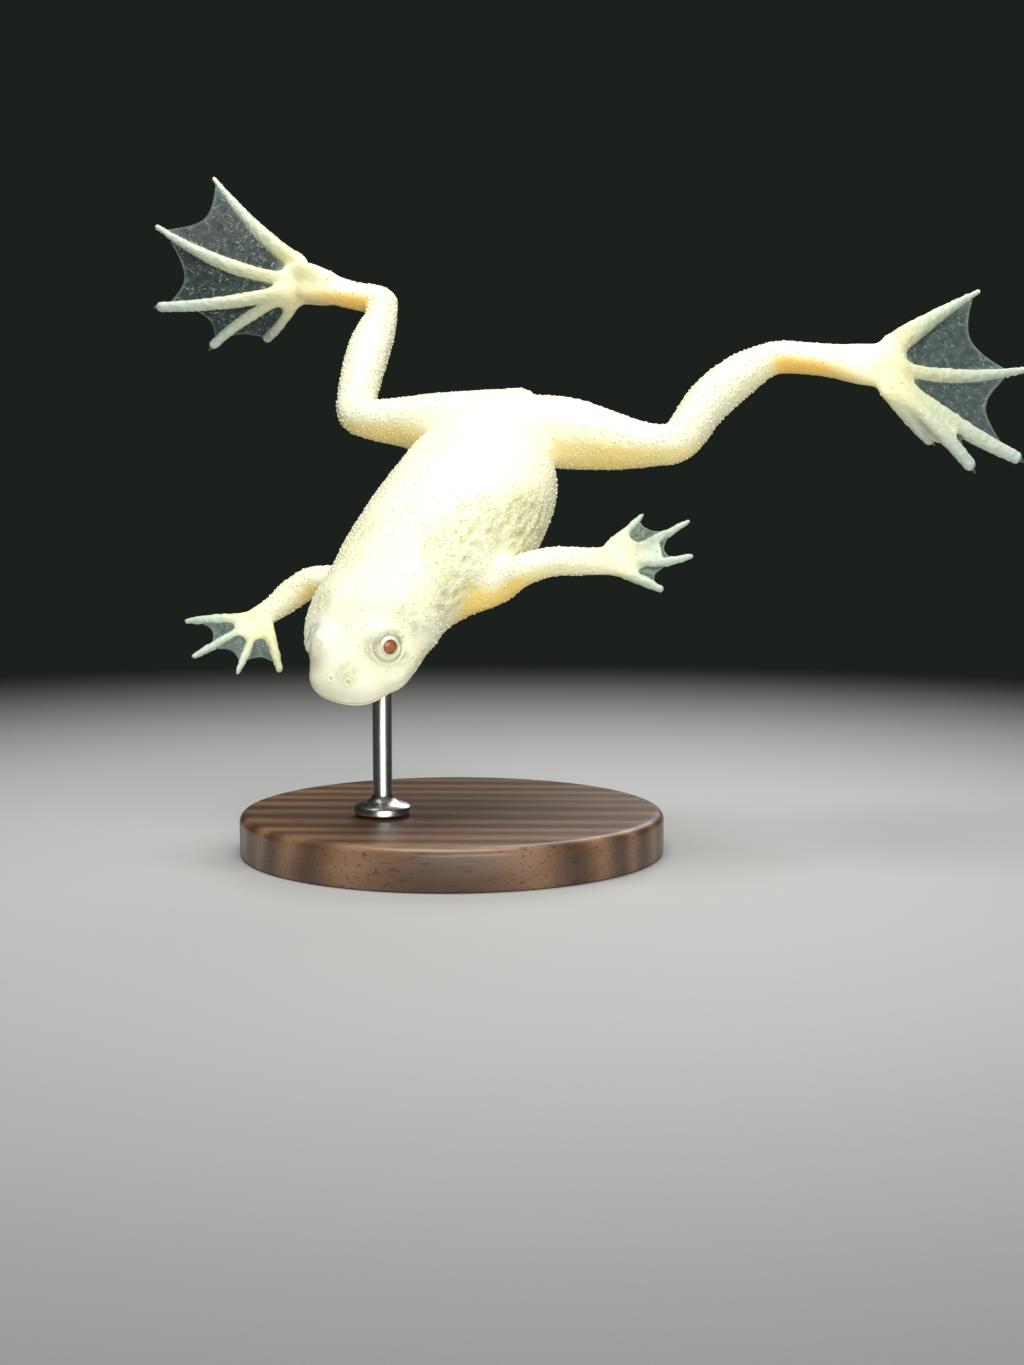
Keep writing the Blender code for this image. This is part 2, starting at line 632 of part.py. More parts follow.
def fan(name):
    """A foot or hand: palm, digits with blunt ends, and the webs between them."""
    limb, cut, palm_half, palm_thick = ENDS[name]
    digits = DIGITS[name]
    rows = LIMBS[limb][-2:]
    start, first, last = Vector(rows[0][:3]), Vector(digits[0][2]), Vector(digits[-1][2])
    up = (first - start).cross(last - start).normalized()
    if up.z < 0:
        up = -up
    middle = sum((Vector(d[0]) for d in digits), Vector()) / len(digits)
    heel = Vector(rows[1][:3])
    beyond = middle + (middle - heel).normalized() * palm_half * PALM_REACH
    rows += [(*middle, palm_half, palm_thick), (*beyond, palm_half * PALM_SPREAD, WEB_BASE_HALF)]
    palm = tube(name, rows, 16, 3, up, PALM_DOMES)
    pieces = []
    for k, digit in enumerate(digits):
        base, middle, tip = digit[3]
        root = Vector(digit[0]).lerp(heel, DIGIT_ROOT)
        spine = [(*root, base * 0.6, base * 0.5)]
        spine += [(*curve_point(digit, share), wide, wide * 0.95) for share, wide in
                  ((0.05, base * 0.95), (0.3, base * 0.45 + middle * 0.55), (0.62, middle * 0.9 + tip * 0.1),
                   (0.98, tip))]
        clawed = name.startswith("foot") and k < CLAWED_TOES
        pieces.append(tube("digit", spine, 8, 1, up, CLAW_DOMES if clawed else TIP_DOMES))
    kind = name.split("_")[0]
    for k, joins in enumerate(WEBS[name]):
        pieces.append(web("web", digits[k], digits[k + 1], joins, *WEB_GRID[kind]))
    combine(palm, pieces, "UNION")
    place, direction, radius = CUTS[cut]
    direction = Vector(direction).normalized()
    middle = Vector(place) + direction * (GAP - LIMB_TRIM) / 2
    combine(palm, [disc("block", middle, direction, radius * TRIM_SPREAD, LIMB_TRIM)], "DIFFERENCE")
    return keep_largest(palm)


def stand_base():
    bm = bmesh.new()
    bmesh.ops.create_cone(bm, cap_ends=True, segments=48, radius1=BASE_RADIUS, radius2=BASE_RADIUS,
                          depth=BASE_HEIGHT, matrix=Matrix.Translation((0, 0, BASE_HEIGHT / 2)))
    top = [e for e in bm.edges if all(abs(v.co.z - BASE_HEIGHT) < 0.01 for v in e.verts)]
    bmesh.ops.bevel(bm, geom=top, offset=BASE_BEVEL, segments=2, profile=0.5, affect="EDGES")
    return mesh_object("stand_base", bm)


def turned(name, profile, place, segments=16):
    """A turned piece from radius and height pairs, standing at a place."""
    rings = []
    for radius, height in profile:
        rings.append([place + Vector((radius * math.cos(a), radius * math.sin(a), height))
                      for a in (2 * math.pi * k / segments for k in range(segments))])
    return loft(name, rings)


def pose_matrix():
    """The dive: from the frog's body frame to the world, both in millimetres."""
    turn = Matrix.Rotation(math.radians(HEADING_DEG), 4, "Z")
    turn = turn @ Matrix.Rotation(math.radians(DIVE_DEG), 4, "Y")
    turn = turn @ Matrix.Rotation(math.radians(ROLL_DEG), 4, "X")
    return Matrix.Translation(PELVIS_PLACE) @ turn


def finish(obj, kind, pose=None):
    """Turn a piece's millimetres to metres, give it its finish, and hang it on the pose."""
    obj.data.transform(Matrix.Scale(MM, 4))
    obj.data.materials.clear()
    obj.data.materials.append(material(kind))
    if pose:
        obj.parent = pose
    obj.data.shade_smooth()
    obj.data.set_sharp_from_angle(angle=math.radians(40))


def main():
    clear_scene()
    pose = bpy.data.objects.new("frog_pose", None)
    bpy.context.scene.collection.objects.link(pose)
    pose.location = PELVIS_PLACE * MM
    pose.rotation_euler = pose_matrix().to_euler()
    pieces = part_body(body())
    head_features(pieces["head"])
    for name in ENDS:
        pieces[name] = fan(name)
    to_body = pose_matrix().inverted()
    rod_foot = Vector((*ROD_PLACE, BASE_HEIGHT + GAP))
    hit, rod_top, _, _ = pieces["torso"].ray_cast(to_body @ rod_foot, to_body.to_3x3() @ Vector((0, 0, 1)))
    top = (pose_matrix() @ rod_top).z + SOCKET_DEPTH
    wide = ROD_RADIUS + GAP
    hole = turned("hole", [(wide, top - HOLE_DEPTH), (wide, top + GAP)], Vector((*ROD_PLACE, 0)))
    hole.data.transform(to_body)
    combine(pieces["torso"], [hole], "DIFFERENCE")
    keep_largest(pieces["torso"])
    for name, piece in pieces.items():
        finish(piece, "web" if name in ENDS else "skin", pose)
    for side, word in ((1, "left"), (-1, "right")):
        finish(ball("eye_" + word, eye_place(side, EYE_OUT), EYE_RADIUS, 16), "eye", pose)
    finish(stand_base(), "wood")
    foot = rod_foot.z
    profile = [(ROD_FLANGE_RADIUS, foot), (ROD_FLANGE_RADIUS, foot + 0.5 * ROD_FLANGE_HEIGHT),
               (ROD_FLANGE_RADIUS - 0.5, foot + 0.8 * ROD_FLANGE_HEIGHT),
               (ROD_RADIUS + 0.5, foot + ROD_FLANGE_HEIGHT), (ROD_RADIUS, foot + ROD_FLANGE_HEIGHT + 0.6),
               (ROD_RADIUS, top)]
    finish(turned("stand_rod", profile, Vector((*ROD_PLACE, 0))), "steel")


main()
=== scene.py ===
"""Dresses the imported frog: one fine skin over the body, thin webs, eyes, claws, and the stand's finishes.

The frog is shaped in millimetres in its own body frame: +X from the pelvis to the snout,
+Y to the frog's left, +Z out of its back. The dive then carries each mesh into the world.
"""

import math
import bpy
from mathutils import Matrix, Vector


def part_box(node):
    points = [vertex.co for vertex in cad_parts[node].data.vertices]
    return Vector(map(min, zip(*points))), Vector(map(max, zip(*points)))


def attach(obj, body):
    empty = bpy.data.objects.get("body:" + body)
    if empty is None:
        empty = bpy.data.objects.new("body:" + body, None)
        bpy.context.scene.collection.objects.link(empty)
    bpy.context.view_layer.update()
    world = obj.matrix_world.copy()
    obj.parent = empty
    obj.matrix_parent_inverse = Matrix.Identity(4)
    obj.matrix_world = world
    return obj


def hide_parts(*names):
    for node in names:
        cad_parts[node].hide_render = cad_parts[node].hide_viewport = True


bl_info = {
    "name": "Dwarf Frog Display Model",
    "version": (1, 0, 0),
    "blender": (4, 5, 0),
    "location": "3D View > Sidebar > Frog",
    "description": "Builds the skin, webs, eyes, claws and stand of a life-size dwarf frog model",
    "category": "Object",
}

import bmesh
import bpy
import numpy as np
from bpy.props import FloatProperty, FloatVectorProperty, IntProperty, PointerProperty
from bpy.types import Operator, Panel, PropertyGroup
from mathutils import Color, Matrix, Vector, noise
from mathutils.bvhtree import BVHTree

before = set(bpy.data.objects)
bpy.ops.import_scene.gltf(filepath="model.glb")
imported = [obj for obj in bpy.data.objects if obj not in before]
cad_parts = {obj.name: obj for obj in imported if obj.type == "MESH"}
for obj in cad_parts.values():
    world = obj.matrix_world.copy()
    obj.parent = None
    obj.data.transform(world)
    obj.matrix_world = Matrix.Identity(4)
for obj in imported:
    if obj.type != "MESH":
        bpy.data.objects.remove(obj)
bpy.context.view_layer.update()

MM = 0.001

# Shape of the frog, in millimetres in its body frame

RUMP_X = -4.0
SNOUT_X = 28.9
SECTION_POWER = 2.25

PELVIS_PLACE = Vector((4.5, 1.5, 35.5))
HEADING_DEG = 228.1
DIVE_DEG = 46.1
ROLL_DEG = -20.6

EYE_MOUND = Vector((24.63, 2.33, 1.28))
EYE_MOUND_RADIUS = 1.6
EYE_AXES = {1: Vector((0.3, 0.78, 0.55)), -1: Vector((0.2, 0.93, 0.3))}
EYE_LEAN = Vector((-0.19, -0.23, 0.09))
EYE_OUT = 0.85
PUPIL_SLOPE = 0.09

# Direction from the left eye's axis in which the fold round its lids is deepest
FOLD_SIDE = (0.69, 0.15, -0.705)

# The nostrils' distance along X and to the side
NOSTRIL_PLACE = (28.0, 0.75)

# The mouth's angle on the head's section, and the distances along X that its line runs through
MOUTH_DEG = -14.0
MOUTH_XS = (22.9, 24.1, 25.4, 26.5, 27.3, 27.95, 28.4, 28.7)

# Where the face begins, and how far from its features the skin is refined
FACE_X = 21.5
EYE_REACH = 1.9
NOSTRIL_REACH = 0.5
MOUTH_REACH = 0.42

# Distances from an eye's axis: the crest of its lids, and the fold round them
LID_RADIUS = 0.97
FOLD_RADIUS = 1.2

NOSTRIL_RADIUS = 0.09

# How far above and below the mouth's line its lips swell most
LIP_OUT = 0.22

# Between these places along X the granules thin out, towards the head and once more towards the snout
THINNER_HEAD = (19.0, 22.0)
THINNER_SNOUT = (24.5, 26.5)

BASE_RADIUS = 18.0
BASE_HEIGHT = 3.5
BASE_BEVEL = 0.7
ROD_RADIUS = 0.8
ROD_PLACE = (-5.7, -3.5)

# Lower edge of the base: how far it lies within the base's radius, height
BASE_FOOT = [(0.3, 0.0), (0.08, 0.1), (0.0, 0.32)]

# Turned collar at the rod's foot: radius, height above the foot
COLLAR = [(2.4, 0.0), (2.4, 0.45), (2.33, 0.56), (1.95, 0.78), (1.45, 0.9), (1.25, 1.0), (0.95, 1.25),
          (ROD_RADIUS, 1.6)]

# Trunk rows: distance along X, half width, depth of back, depth of belly, lift of the middle
TRUNK = [
    (RUMP_X, 0.5, 0.4, 0.4, 0.8),
    (-3.2, 1.9, 1.2, 1.2, 0.6),
    (-1.2, 3.7, 2.2, 2.3, 0.3),
    (1.0, 5.1, 3.1, 3.1, 0.0),
    (4.5, 6.65, 4.2, 3.9, -0.4),
    (8.5, 7.23, 5.1, 4.1, -0.9),
    (12.5, 7.23, 5.0, 3.9, -0.9),
    (16.0, 6.45, 4.3, 3.7, -0.5),
    (19.0, 5.6, 3.7, 3.4, -0.1),
    (22.0, 5.59, 3.23, 3.0, 0.0),
    (24.5, 4.82, 2.65, 2.6, -0.1),
    (26.5, 3.86, 2.1, 2.05, -0.2),
    (27.8, 3.0, 1.55, 1.4, -0.35),
    (28.6, 2.0, 0.95, 0.8, -0.45),
    (SNOUT_X, 0.6, 0.35, 0.3, -0.5),
]

# Roundness of the back's section: distance along X, power (lower is more like a roof)
CROWN = [
    (RUMP_X, 2.25),
    (17.0, 2.25),
    (20.5, 2.2),
    (23.5, 1.51),
    (26.5, 1.49),
    (SNOUT_X, 1.9),
]

# Sideways bend of the spine: distance along X, offset to the frog's left
SPINE_BEND = [
    (RUMP_X, 0.2),
    (2.0, 0.0),
    (7.0, 0.43),
    (12.0, 0.26),
    (16.0, -0.37),
    (19.0, -0.57),
    (22.0, -0.55),
    (25.0, 0.12),
    (26.5, 0.18),
    (SNOUT_X, 0.49),
]

# Limb rows: x, y, z, half width across the body's plane, half thickness
LIMBS = {
    "left_leg": [
        (-0.8, 0.6, -0.4, 3.1, 2.7),
        (-1.65, 4.5, -0.4, 3.15, 2.8),
        (-1.95, 7.1, -0.4, 2.8, 2.6),
        (-2.2, 9.8, -0.35, 2.3, 2.2),
        (-2.7, 12.3, -0.3, 1.8, 1.8),
        (-3.6, 14.3, -0.3, 1.65, 1.6),
        (-5.2, 14.7, -0.2, 1.75, 1.7),
        (-7.65, 14.95, 0.0, 1.85, 1.75),
        (-9.65, 15.55, 0.15, 1.95, 1.75),
        (-11.8, 16.6, 0.35, 1.85, 1.6),
        (-13.6, 17.9, 0.5, 1.5, 1.35),
        (-14.4, 19.3, 0.6, 1.5, 1.2),
        (-14.8, 22.0, 0.8, 1.5, 1.1),
        (-15.1, 24.4, 0.93, 1.8, 1.0),
        (-15.3, 26.4, 1.05, 2.15, 0.85),
    ],
    "right_leg": [
        (-1.0, -1.3, -0.4, 2.9, 2.7),
        (0.5, -5.0, -0.4, 2.8, 2.7),
        (1.1, -7.2, -0.4, 2.65, 2.45),
        (1.6, -9.4, -0.4, 2.15, 2.1),
        (2.2, -11.7, -0.35, 1.8, 1.8),
        (2.2, -13.8, -0.3, 1.65, 1.6),
        (0.3, -14.9, -0.35, 1.75, 1.7),
        (-2.1, -15.85, -0.4, 1.85, 1.75),
        (-4.45, -16.7, -0.45, 1.95, 1.75),
        (-6.9, -17.4, -0.5, 1.85, 1.6),
        (-9.1, -18.0, -0.55, 1.5, 1.35),
        (-10.65, -19.1, -0.42, 1.5, 1.25),
        (-10.5, -21.6, -0.25, 1.35, 1.1),
        (-10.25, -24.2, 0.13, 1.65, 1.0),
        (-10.0, -26.2, 0.45, 2.0, 0.85),
    ],
    "left_arm": [
        (16.5, 3.2, -1.3, 2.0, 1.7),
        (14.55, 6.65, -0.75, 1.75, 1.4),
        (13.4, 8.6, 0.6, 1.4, 1.25),
        (12.3, 9.9, 0.8, 1.25, 1.15),
        (11.2, 11.1, 0.4, 1.22, 1.1),
        (9.95, 13.05, -0.3, 1.27, 0.95),
        (8.8, 14.45, -1.0, 1.42, 0.75),
    ],
    "right_arm": [
        (17.3, -3.2, -1.0, 1.8, 1.7),
        (18.4, -6.6, -1.2, 1.4, 1.4),
        (19.0, -8.6, -1.5, 1.3, 1.3),
        (20.3, -9.8, -1.9, 1.3, 1.2),
        (21.5, -10.4, -2.1, 1.15, 1.1),
        (22.6, -10.9, -2.1, 1.05, 0.95),
        (23.5, -11.3, -2.0, 1.15, 0.75),
    ],
}

# Toes and fingers: base, middle and tip, then the half width at each of the three
DIGITS = {
    "foot_left": [
        ((-13.4, 28.5, 0.8), (-13.0, 30.5, -1.0), (-13.2, 32.4, -3.7), (0.7, 0.66, 0.5)),
        ((-14.0, 28.8, 0.85), (-12.9, 33.1, -1.7), (-12.2, 36.2, -4.5), (0.75, 0.62, 0.46)),
        ((-14.7, 28.7, 0.95), (-14.5, 33.6, -2.4), (-15.4, 39.0, -6.0), (0.85, 0.72, 0.5)),
        ((-15.9, 28.4, 0.95), (-19.1, 32.1, -2.4), (-25.4, 36.6, -6.3), (0.82, 0.64, 0.2)),
        ((-17.45, 27.4, 0.95), (-22.35, 28.55, -0.4), (-29.3, 30.7, -2.5), (1.25, 0.64, 0.16)),
    ],
    "foot_right": [
        ((-8.9, -26.4, 0.3), (-6.95, -28.1, -2.0), (-6.6, -30.6, -4.6), (0.7, 0.48, 0.4)),
        ((-8.6, -27.0, 0.4), (-5.5, -30.7, -0.85), (-2.6, -33.4, -2.5), (0.7, 0.5, 0.4)),
        ((-9.1, -27.3, 0.5), (-5.35, -31.7, 1.0), (-2.55, -38.2, 1.1), (0.78, 0.56, 0.42)),
        ((-9.9, -27.7, 0.6), (-8.0, -33.6, 2.75), (-8.9, -41.5, 4.6), (0.78, 0.6, 0.2)),
        ((-11.6, -27.8, 0.7), (-12.5, -32.4, 2.8), (-16.25, -39.7, 4.65), (1.1, 0.64, 0.17)),
    ],
    "hand_left": [
        ((9.4, 14.65, -1.1), (9.9, 17.3, -0.8), (10.1, 19.3, -1.0), (0.7, 0.42, 0.24)),
        ((8.7, 14.9, -1.0), (8.2, 18.0, -0.5), (6.7, 20.5, -0.4), (0.55, 0.38, 0.19)),
        ((8.1, 14.7, -1.0), (6.3, 17.1, -0.2), (3.95, 19.0, 0.15), (0.55, 0.36, 0.15)),
        ((7.8, 13.85, -0.9), (5.9, 14.3, -0.85), (3.6, 14.6, -1.1), (0.85, 0.42, 0.1)),
    ],
    "hand_right": [
        ((23.75, -10.4, -2.0), (25.5, -8.6, -2.3), (26.8, -7.4, -3.0), (0.75, 0.4, 0.22)),
        ((24.3, -11.0, -2.0), (26.9, -10.0, -1.4), (29.2, -9.4, -1.2), (0.5, 0.35, 0.14)),
        ((24.2, -11.6, -2.0), (26.7, -12.4, -1.3), (29.2, -13.7, -1.0), (0.5, 0.36, 0.19)),
        ((23.8, -12.0, -2.0), (25.0, -14.0, -1.4), (26.3, -16.5, -1.2), (0.7, 0.42, 0.19)),
    ],
}

# Each foot's or hand's limb, the half width and half thickness of its palm, and how far the palm is
# shifted towards the last digit
PALMS = {
    "foot_left": ("left_leg", 1.95, 0.5, 0.5),
    "foot_right": ("right_leg", 2.0, 0.5, 0.2),
    "hand_left": ("left_arm", 1.35, 0.55, 0.0),
    "hand_right": ("right_arm", 1.3, 0.5, 0.0),
}
PALM_REACH = 0.3
PALM_SPREAD = 0.85
PALM_EDGE = 0.32
DIGIT_ROOT = 0.8
SKIN_SWELL = 0.04
DIGIT_FLATNESS = [(0.0, 0.6), (0.4, 0.85), (1.0, 0.92)]
CLAWED_TOES = 3
CLAW_HOOK = 0.12
CLAW_TIP = 0.03

# How far along its two digits each web is joined, and how deep its free edge is hollowed
WEBS = {
    "foot_left": [(0.96, 0.72, 0.17), (0.95, 0.75, 0.17), (0.93, 0.88, 0.17), (0.88, 0.95, 0.17)],
    "foot_right": [(0.98, 0.86, 0.1), (0.95, 0.82, 0.1), (0.95, 0.92, 0.13), (0.95, 0.97, 0.13)],
    "hand_left": [(0.85, 0.75, 0.17), (0.76, 0.74, 0.17), (0.72, 0.85, 0.15)],
    "hand_right": [(0.85, 0.75, 0.17), (0.78, 0.74, 0.17), (0.72, 0.85, 0.17)],
}

# Flesh between two digits: how far along each of them it reaches, and its half thickness at the root.
# It thins by the taper with each row of points.
FLESH_TAPER = 0.012
FLESH = {
    "foot_left": [(0.9, 0.72, 0.52), (0.72, 0.56, 0.52), (0.24, 0.17, 0.4), (0.16, 0.2, 0.4)],
    "foot_right": [(0.3, 0.24, 0.42), (0.28, 0.2, 0.42), (0.16, 0.14, 0.4), (0.14, 0.16, 0.4)],
    "hand_left": [(0.4, 0.4, 0.3), (0.62, 0.56, 0.28), (0.36, 0.46, 0.3)],
    "hand_right": [(0.32, 0.26, 0.34), (0.34, 0.32, 0.34), (0.28, 0.36, 0.34)],
}

SKIN_NODES = ("head", "torso", "upper_arm_left", "upper_arm_right", "forearm_left", "forearm_right",
              "hand_left", "hand_right", "thigh_left", "thigh_right", "shank_left", "shank_right",
              "tarsus_left", "tarsus_right", "foot_left", "foot_right")

# Amber painted on the underside along a limb, as shade warmed by light through the flesh: share of its
# length, strength, how far up its sides it reaches
LEG_AMBER_SHADE = [(0.0, 0.3, 0.05), (0.2, 0.6, 0.0), (0.36, 0.45, -0.1), (0.46, 0.1, -0.2), (0.7, 0.15, 0.0),
             (0.78, 1.0, 0.3), (0.92, 1.0, 0.3), (1.0, 0.7, 0.12)]
ARM_AMBER_SHADE = [(0.0, 0.7, -0.15), (0.3, 0.7, -0.1), (0.5, 0.3, 0.0), (0.7, 0.12, 0.0), (1.0, 0.05, 0.0)]

# Patches of darker mottling: middle of the patch, its radius, its strength
MOTTLES = [
    ((11.5, 4.9, 3.0), 3.6, 0.9),
    ((9.0, 7.0, 1.0), 3.8, 1.0),
    ((14.5, 3.6, 3.3), 3.2, 0.8),
    ((17.5, 5.2, 1.6), 3.0, 0.8),
    ((9.5, 6.8, -2.0), 3.4, 0.9),
    ((13.0, 6.3, -1.5), 3.0, 0.8),
    ((23.2, 4.6, -0.4), 2.2, 0.5),
    ((21.0, 3.6, 2.2), 2.6, 0.5),
    ((22.3, -4.2, 2.2), 1.7, 0.45),
    ((18.5, -3.9, 2.8), 2.0, 0.4),
    ((15.5, -4.5, 3.0), 2.4, 0.5),
    ((27.2, 0.9, 1.4), 1.5, 0.6),
    ((26.0, -2.6, 1.6), 1.3, 0.5),
    ((24.0, 4.6, 0.8), 1.6, 0.5),
]

# Yellowish fingers and palms: middle of the patch, its radius, its strength
SALLOW = [((25.6, -8.6, -2.2), 3.4, 1.0), ((-15.0, 28.7, 0.9), 2.4, 1.0), ((-9.8, -26.6, 0.9), 2.2, 1.0)]

# Where the arms leave the trunk and the skin is softened: middle of the patch, its radius, its strength
SHOULDERS = [((14.9, 6.4, 0.7), 3.6, 0.5), ((18.1, -5.6, -0.6), 2.4, 0.5)]

# Distances from an eye's axis: its mound keeps its shape up to the first, and none of it from the second
MOUND_KEPT = (1.3, 2.2)

# How far from an eye's middle its mound is softened
MOUND_BLEND = 3.2

# Corners of the skin that stand out over a joint: middle, radius
KNOBS = [((-10.85, -18.25, -0.38), 0.95)]

# Shaded hollows by the eyes: middle of the patch, its radius, its strength
EYE_SHADES = [((25.2, -3.1, 2.1), 1.3, 0.95), ((25.6, 3.9, 2.6), 0.9, 0.5)]

# Creases of the skin: points the crease runs through, its half width, its depth
CREASES = [
    (((12.6, 5.7, 2.4), (13.3, 6.5, 1.6), (13.6, 6.9, 0.9)), 0.28, 0.16),
    (((1.0, 5.4, 2.4), (1.9, 6.4, 0.9), (2.1, 6.5, -0.8)), 0.45, 0.2),
    (((3.4, -4.9, 2.6), (4.3, -6.1, 0.9), (4.4, -6.2, -0.8)), 0.45, 0.2),
]

# Fewest faces of a scattered piece, and the most triangles of any piece
FEWEST_TRIANGLES = 1000
MOST_TRIANGLES = 199000

# Most granules per square metre, and the smallest one's share of the largest one's radius
GRANULE_DENSITY = 1.6e7
SMALLEST_GRANULE = 0.45

# Depth of a place that lies in no limb or digit, and the least relief that is worked out
BEYOND = 9.0
LEAST_RELIEF = 0.002

# Soft lights: the word they are named and set by, place, aim and size, in metres
LIGHTS = [
    ("key", (-0.02, -0.06, 0.36), (0.0, 0.0, 0.03), 0.26),
    ("fill", (0.06, -0.34, 0.05), (0.0, 0.0, 0.035), 0.3),
    ("rim", (0.12, 0.3, 0.24), (0.0, 0.0, 0.03), 0.25),
]

CAMERA_PLACE = (0.005090769, -0.159842193, 0.031115336)
CAMERA_TILT_DEG = 84.0
CAMERA_LENS = 50.0
CAMERA_SENSOR = 36.0


def ease(table, place):
    """Read the columns of a table at a place, along a smooth curve through its rows."""
    places = [row[0] for row in table]
    place = min(max(place, places[0]), places[-1])
    i = max(k for k in range(len(places) - 1) if places[k] <= place)
    span = places[i + 1] - places[i]
    t = (place - places[i]) / span

    def slope(k, column):
        a, b = max(k - 1, 0), min(k + 1, len(table) - 1)
        return (table[b][column] - table[a][column]) / (places[b] - places[a])

    values = []
    for column in range(1, len(table[0])):
        start, end = table[i][column], table[i + 1][column]
        leave, arrive = slope(i, column) * span, slope(i + 1, column) * span
        values.append((2 * t**3 - 3 * t**2 + 1) * start + (t**3 - 2 * t**2 + t) * leave
                      + (3 * t**2 - 2 * t**3) * end + (t**3 - t**2) * arrive)
    return values


def along_spine(x, y, z):
    """Carry a point of the straight body onto the bent one."""
    reach = 0.2
    ahead, behind = ease(SPINE_BEND, x + reach)[0], ease(SPINE_BEND, x - reach)[0]
    turn = math.atan2(ahead - behind, 2 * reach)
    return Vector((x - y * math.sin(turn), ease(SPINE_BEND, x)[0] + y * math.cos(turn), z))


def skin_point(x, degrees):
    """A point on the trunk's or head's surface, from its left side (0) over its back (90)."""
    wide, back, belly, lift = ease(TRUNK, x)
    c, s = math.cos(math.radians(degrees)), math.sin(math.radians(degrees))
    power = ease(CROWN, x)[0] if s > 0 else SECTION_POWER
    y = wide * math.copysign(abs(c) ** (2 / power), c)
    z = (back if s > 0 else belly) * math.copysign(abs(s) ** (2 / power), s)
    return along_spine(x, y, z + lift)


def curve_through(rows, steps):
    """Rows of numbers along a smooth curve through the given rows."""
    rows = [list(row) for row in rows]
    first = [2 * a - b for a, b in zip(rows[0], rows[1])]
    last = [2 * a - b for a, b in zip(rows[-1], rows[-2])]
    padded = [first] + rows + [last]
    found = []
    for i in range(1, len(padded) - 2):
        for k in range(steps):
            t = k / steps
            found.append([
                0.5 * (2 * b + (c - a) * t + (2 * a - 5 * b + 4 * c - d) * t**2
                       + (3 * b - a - 3 * c + d) * t**3)
                for a, b, c, d in zip(*padded[i - 1:i + 3])
            ])
    return found + [rows[-1]]


def curve_point(digit, share):
    """A point along a digit's centre line, which bends through its middle."""
    base, middle, tip = (Vector(p) for p in digit[:3])
    handle = 2 * middle - (base + tip) / 2
    return base * (1 - share) ** 2 + handle * (2 * share * (1 - share)) + tip * share ** 2


def digit_width(digit, share):
    """Half the width of a digit at a share of its length."""
    base, middle, tip = digit[3]
    return ease([(0.0, base * 0.97), (0.3, base * 0.45 + middle * 0.55), (0.62, middle * 0.9 + tip * 0.1),
                 (1.0, tip)], share)[0]


def eye_place(side, out):
    """A point out along the eye's own axis from the middle of its mound."""
    x, y, z = EYE_MOUND + EYE_AXES[side] * out
    return along_spine(x + side * EYE_LEAN.x, side * y + EYE_LEAN.y, z + side * EYE_LEAN.z)


def pose_matrix():
    """The dive: from the frog's body frame to the world, both in millimetres."""
    turn = Matrix.Rotation(math.radians(HEADING_DEG), 4, "Z")
    turn = turn @ Matrix.Rotation(math.radians(DIVE_DEG), 4, "Y")
    turn = turn @ Matrix.Rotation(math.radians(ROLL_DEG), 4, "X")
    return Matrix.Translation(PELVIS_PLACE) @ turn


# Mesh helpers


def add_loft(bm, rings):
    """Join rings of equally many points into one closed surface."""
    rows = [[bm.verts.new(p) for p in ring] for ring in rings]
    count = len(rings[0])
    for a, b in zip(rows, rows[1:]):
        for k in range(count):
            bm.faces.new((a[k], a[(k + 1) % count], b[(k + 1) % count], b[k]))
    bm.faces.new(rows[0])
    bm.faces.new(rows[-1])


def add_tube(bm, rows, sides, steps, up=Vector((0, 0, 1)), domes=((0.92, 0.4), (0.7, 0.75), (0.35, 0.95))):
    """A limb through rows of x, y, z, half width and half thickness, its ends closed by domes."""
    path = curve_through(rows, steps)
    places = [Vector(row[:3]) for row in path]
    rings = []
    for k, row in enumerate(path):
        ahead = places[min(k + 1, len(path) - 1)] - places[max(k - 1, 0)]
        side = up.cross(ahead).normalized()
        top = ahead.cross(side).normalized()
        rings.append([places[k] + side * (row[3] * math.cos(a)) + top * (row[4] * math.sin(a))
                      for a in (2 * math.pi * j / sides for j in range(sides))])
    for end, near in ((0, 1), (-1, -2)):
        out = (places[end] - places[near]).normalized() * path[end][4]
        rim = rings[end]
        for share, reach in domes:
            ring = [places[end] + (p - places[end]) * share + out * reach for p in rim]
            rings = [ring] + rings if end == 0 else rings + [ring]
    add_loft(bm, rings)


def to_mesh(bm, name):
    bmesh.ops.recalc_face_normals(bm, faces=bm.faces)
    mesh = bpy.data.meshes.new(name)
    bm.to_mesh(mesh)
    bm.free()
    return mesh


def shaped(mesh, *steps):
    """A mesh after a chain of modifiers, each given by its kind and settings."""
    obj = bpy.data.objects.new("shaping", mesh)
    bpy.context.scene.collection.objects.link(obj)
    for kind, settings in steps:
        modifier = obj.modifiers.new(kind.lower(), kind)
        for key, value in settings.items():
            setattr(modifier, key, value)
    graph = bpy.context.evaluated_depsgraph_get()
    result = bpy.data.meshes.new_from_object(obj.evaluated_get(graph))
    bpy.data.objects.remove(obj)
    bpy.data.meshes.remove(mesh)
    return result


def read(collection, key, width=3):
    values = np.empty(len(collection) * width, dtype=np.float32)
    collection.foreach_get(key, values)
    return values.reshape(-1, width).astype(np.float64) if width > 1 else values.astype(np.float64)


def write_points(mesh, places):
    mesh.vertices.foreach_set("co", places.astype(np.float32).ravel())
    mesh.update()


def surface(mesh):
    return read(mesh.vertices, "co"), read(mesh.vertex_normals, "vector")


def stored(mesh, name):
    return read(mesh.attributes[name].data, "value", 1)


def store(mesh, columns):
    """Keep a value or a vector for each point of a mesh, under each column's name."""
    for name, column in columns.items():
        kind, key = ("FLOAT_VECTOR", "vector") if column.ndim > 1 else ("FLOAT", "value")
        attribute = mesh.attributes.new(name, kind, "POINT")
        attribute.data.foreach_set(key, column.astype(np.float32).ravel())


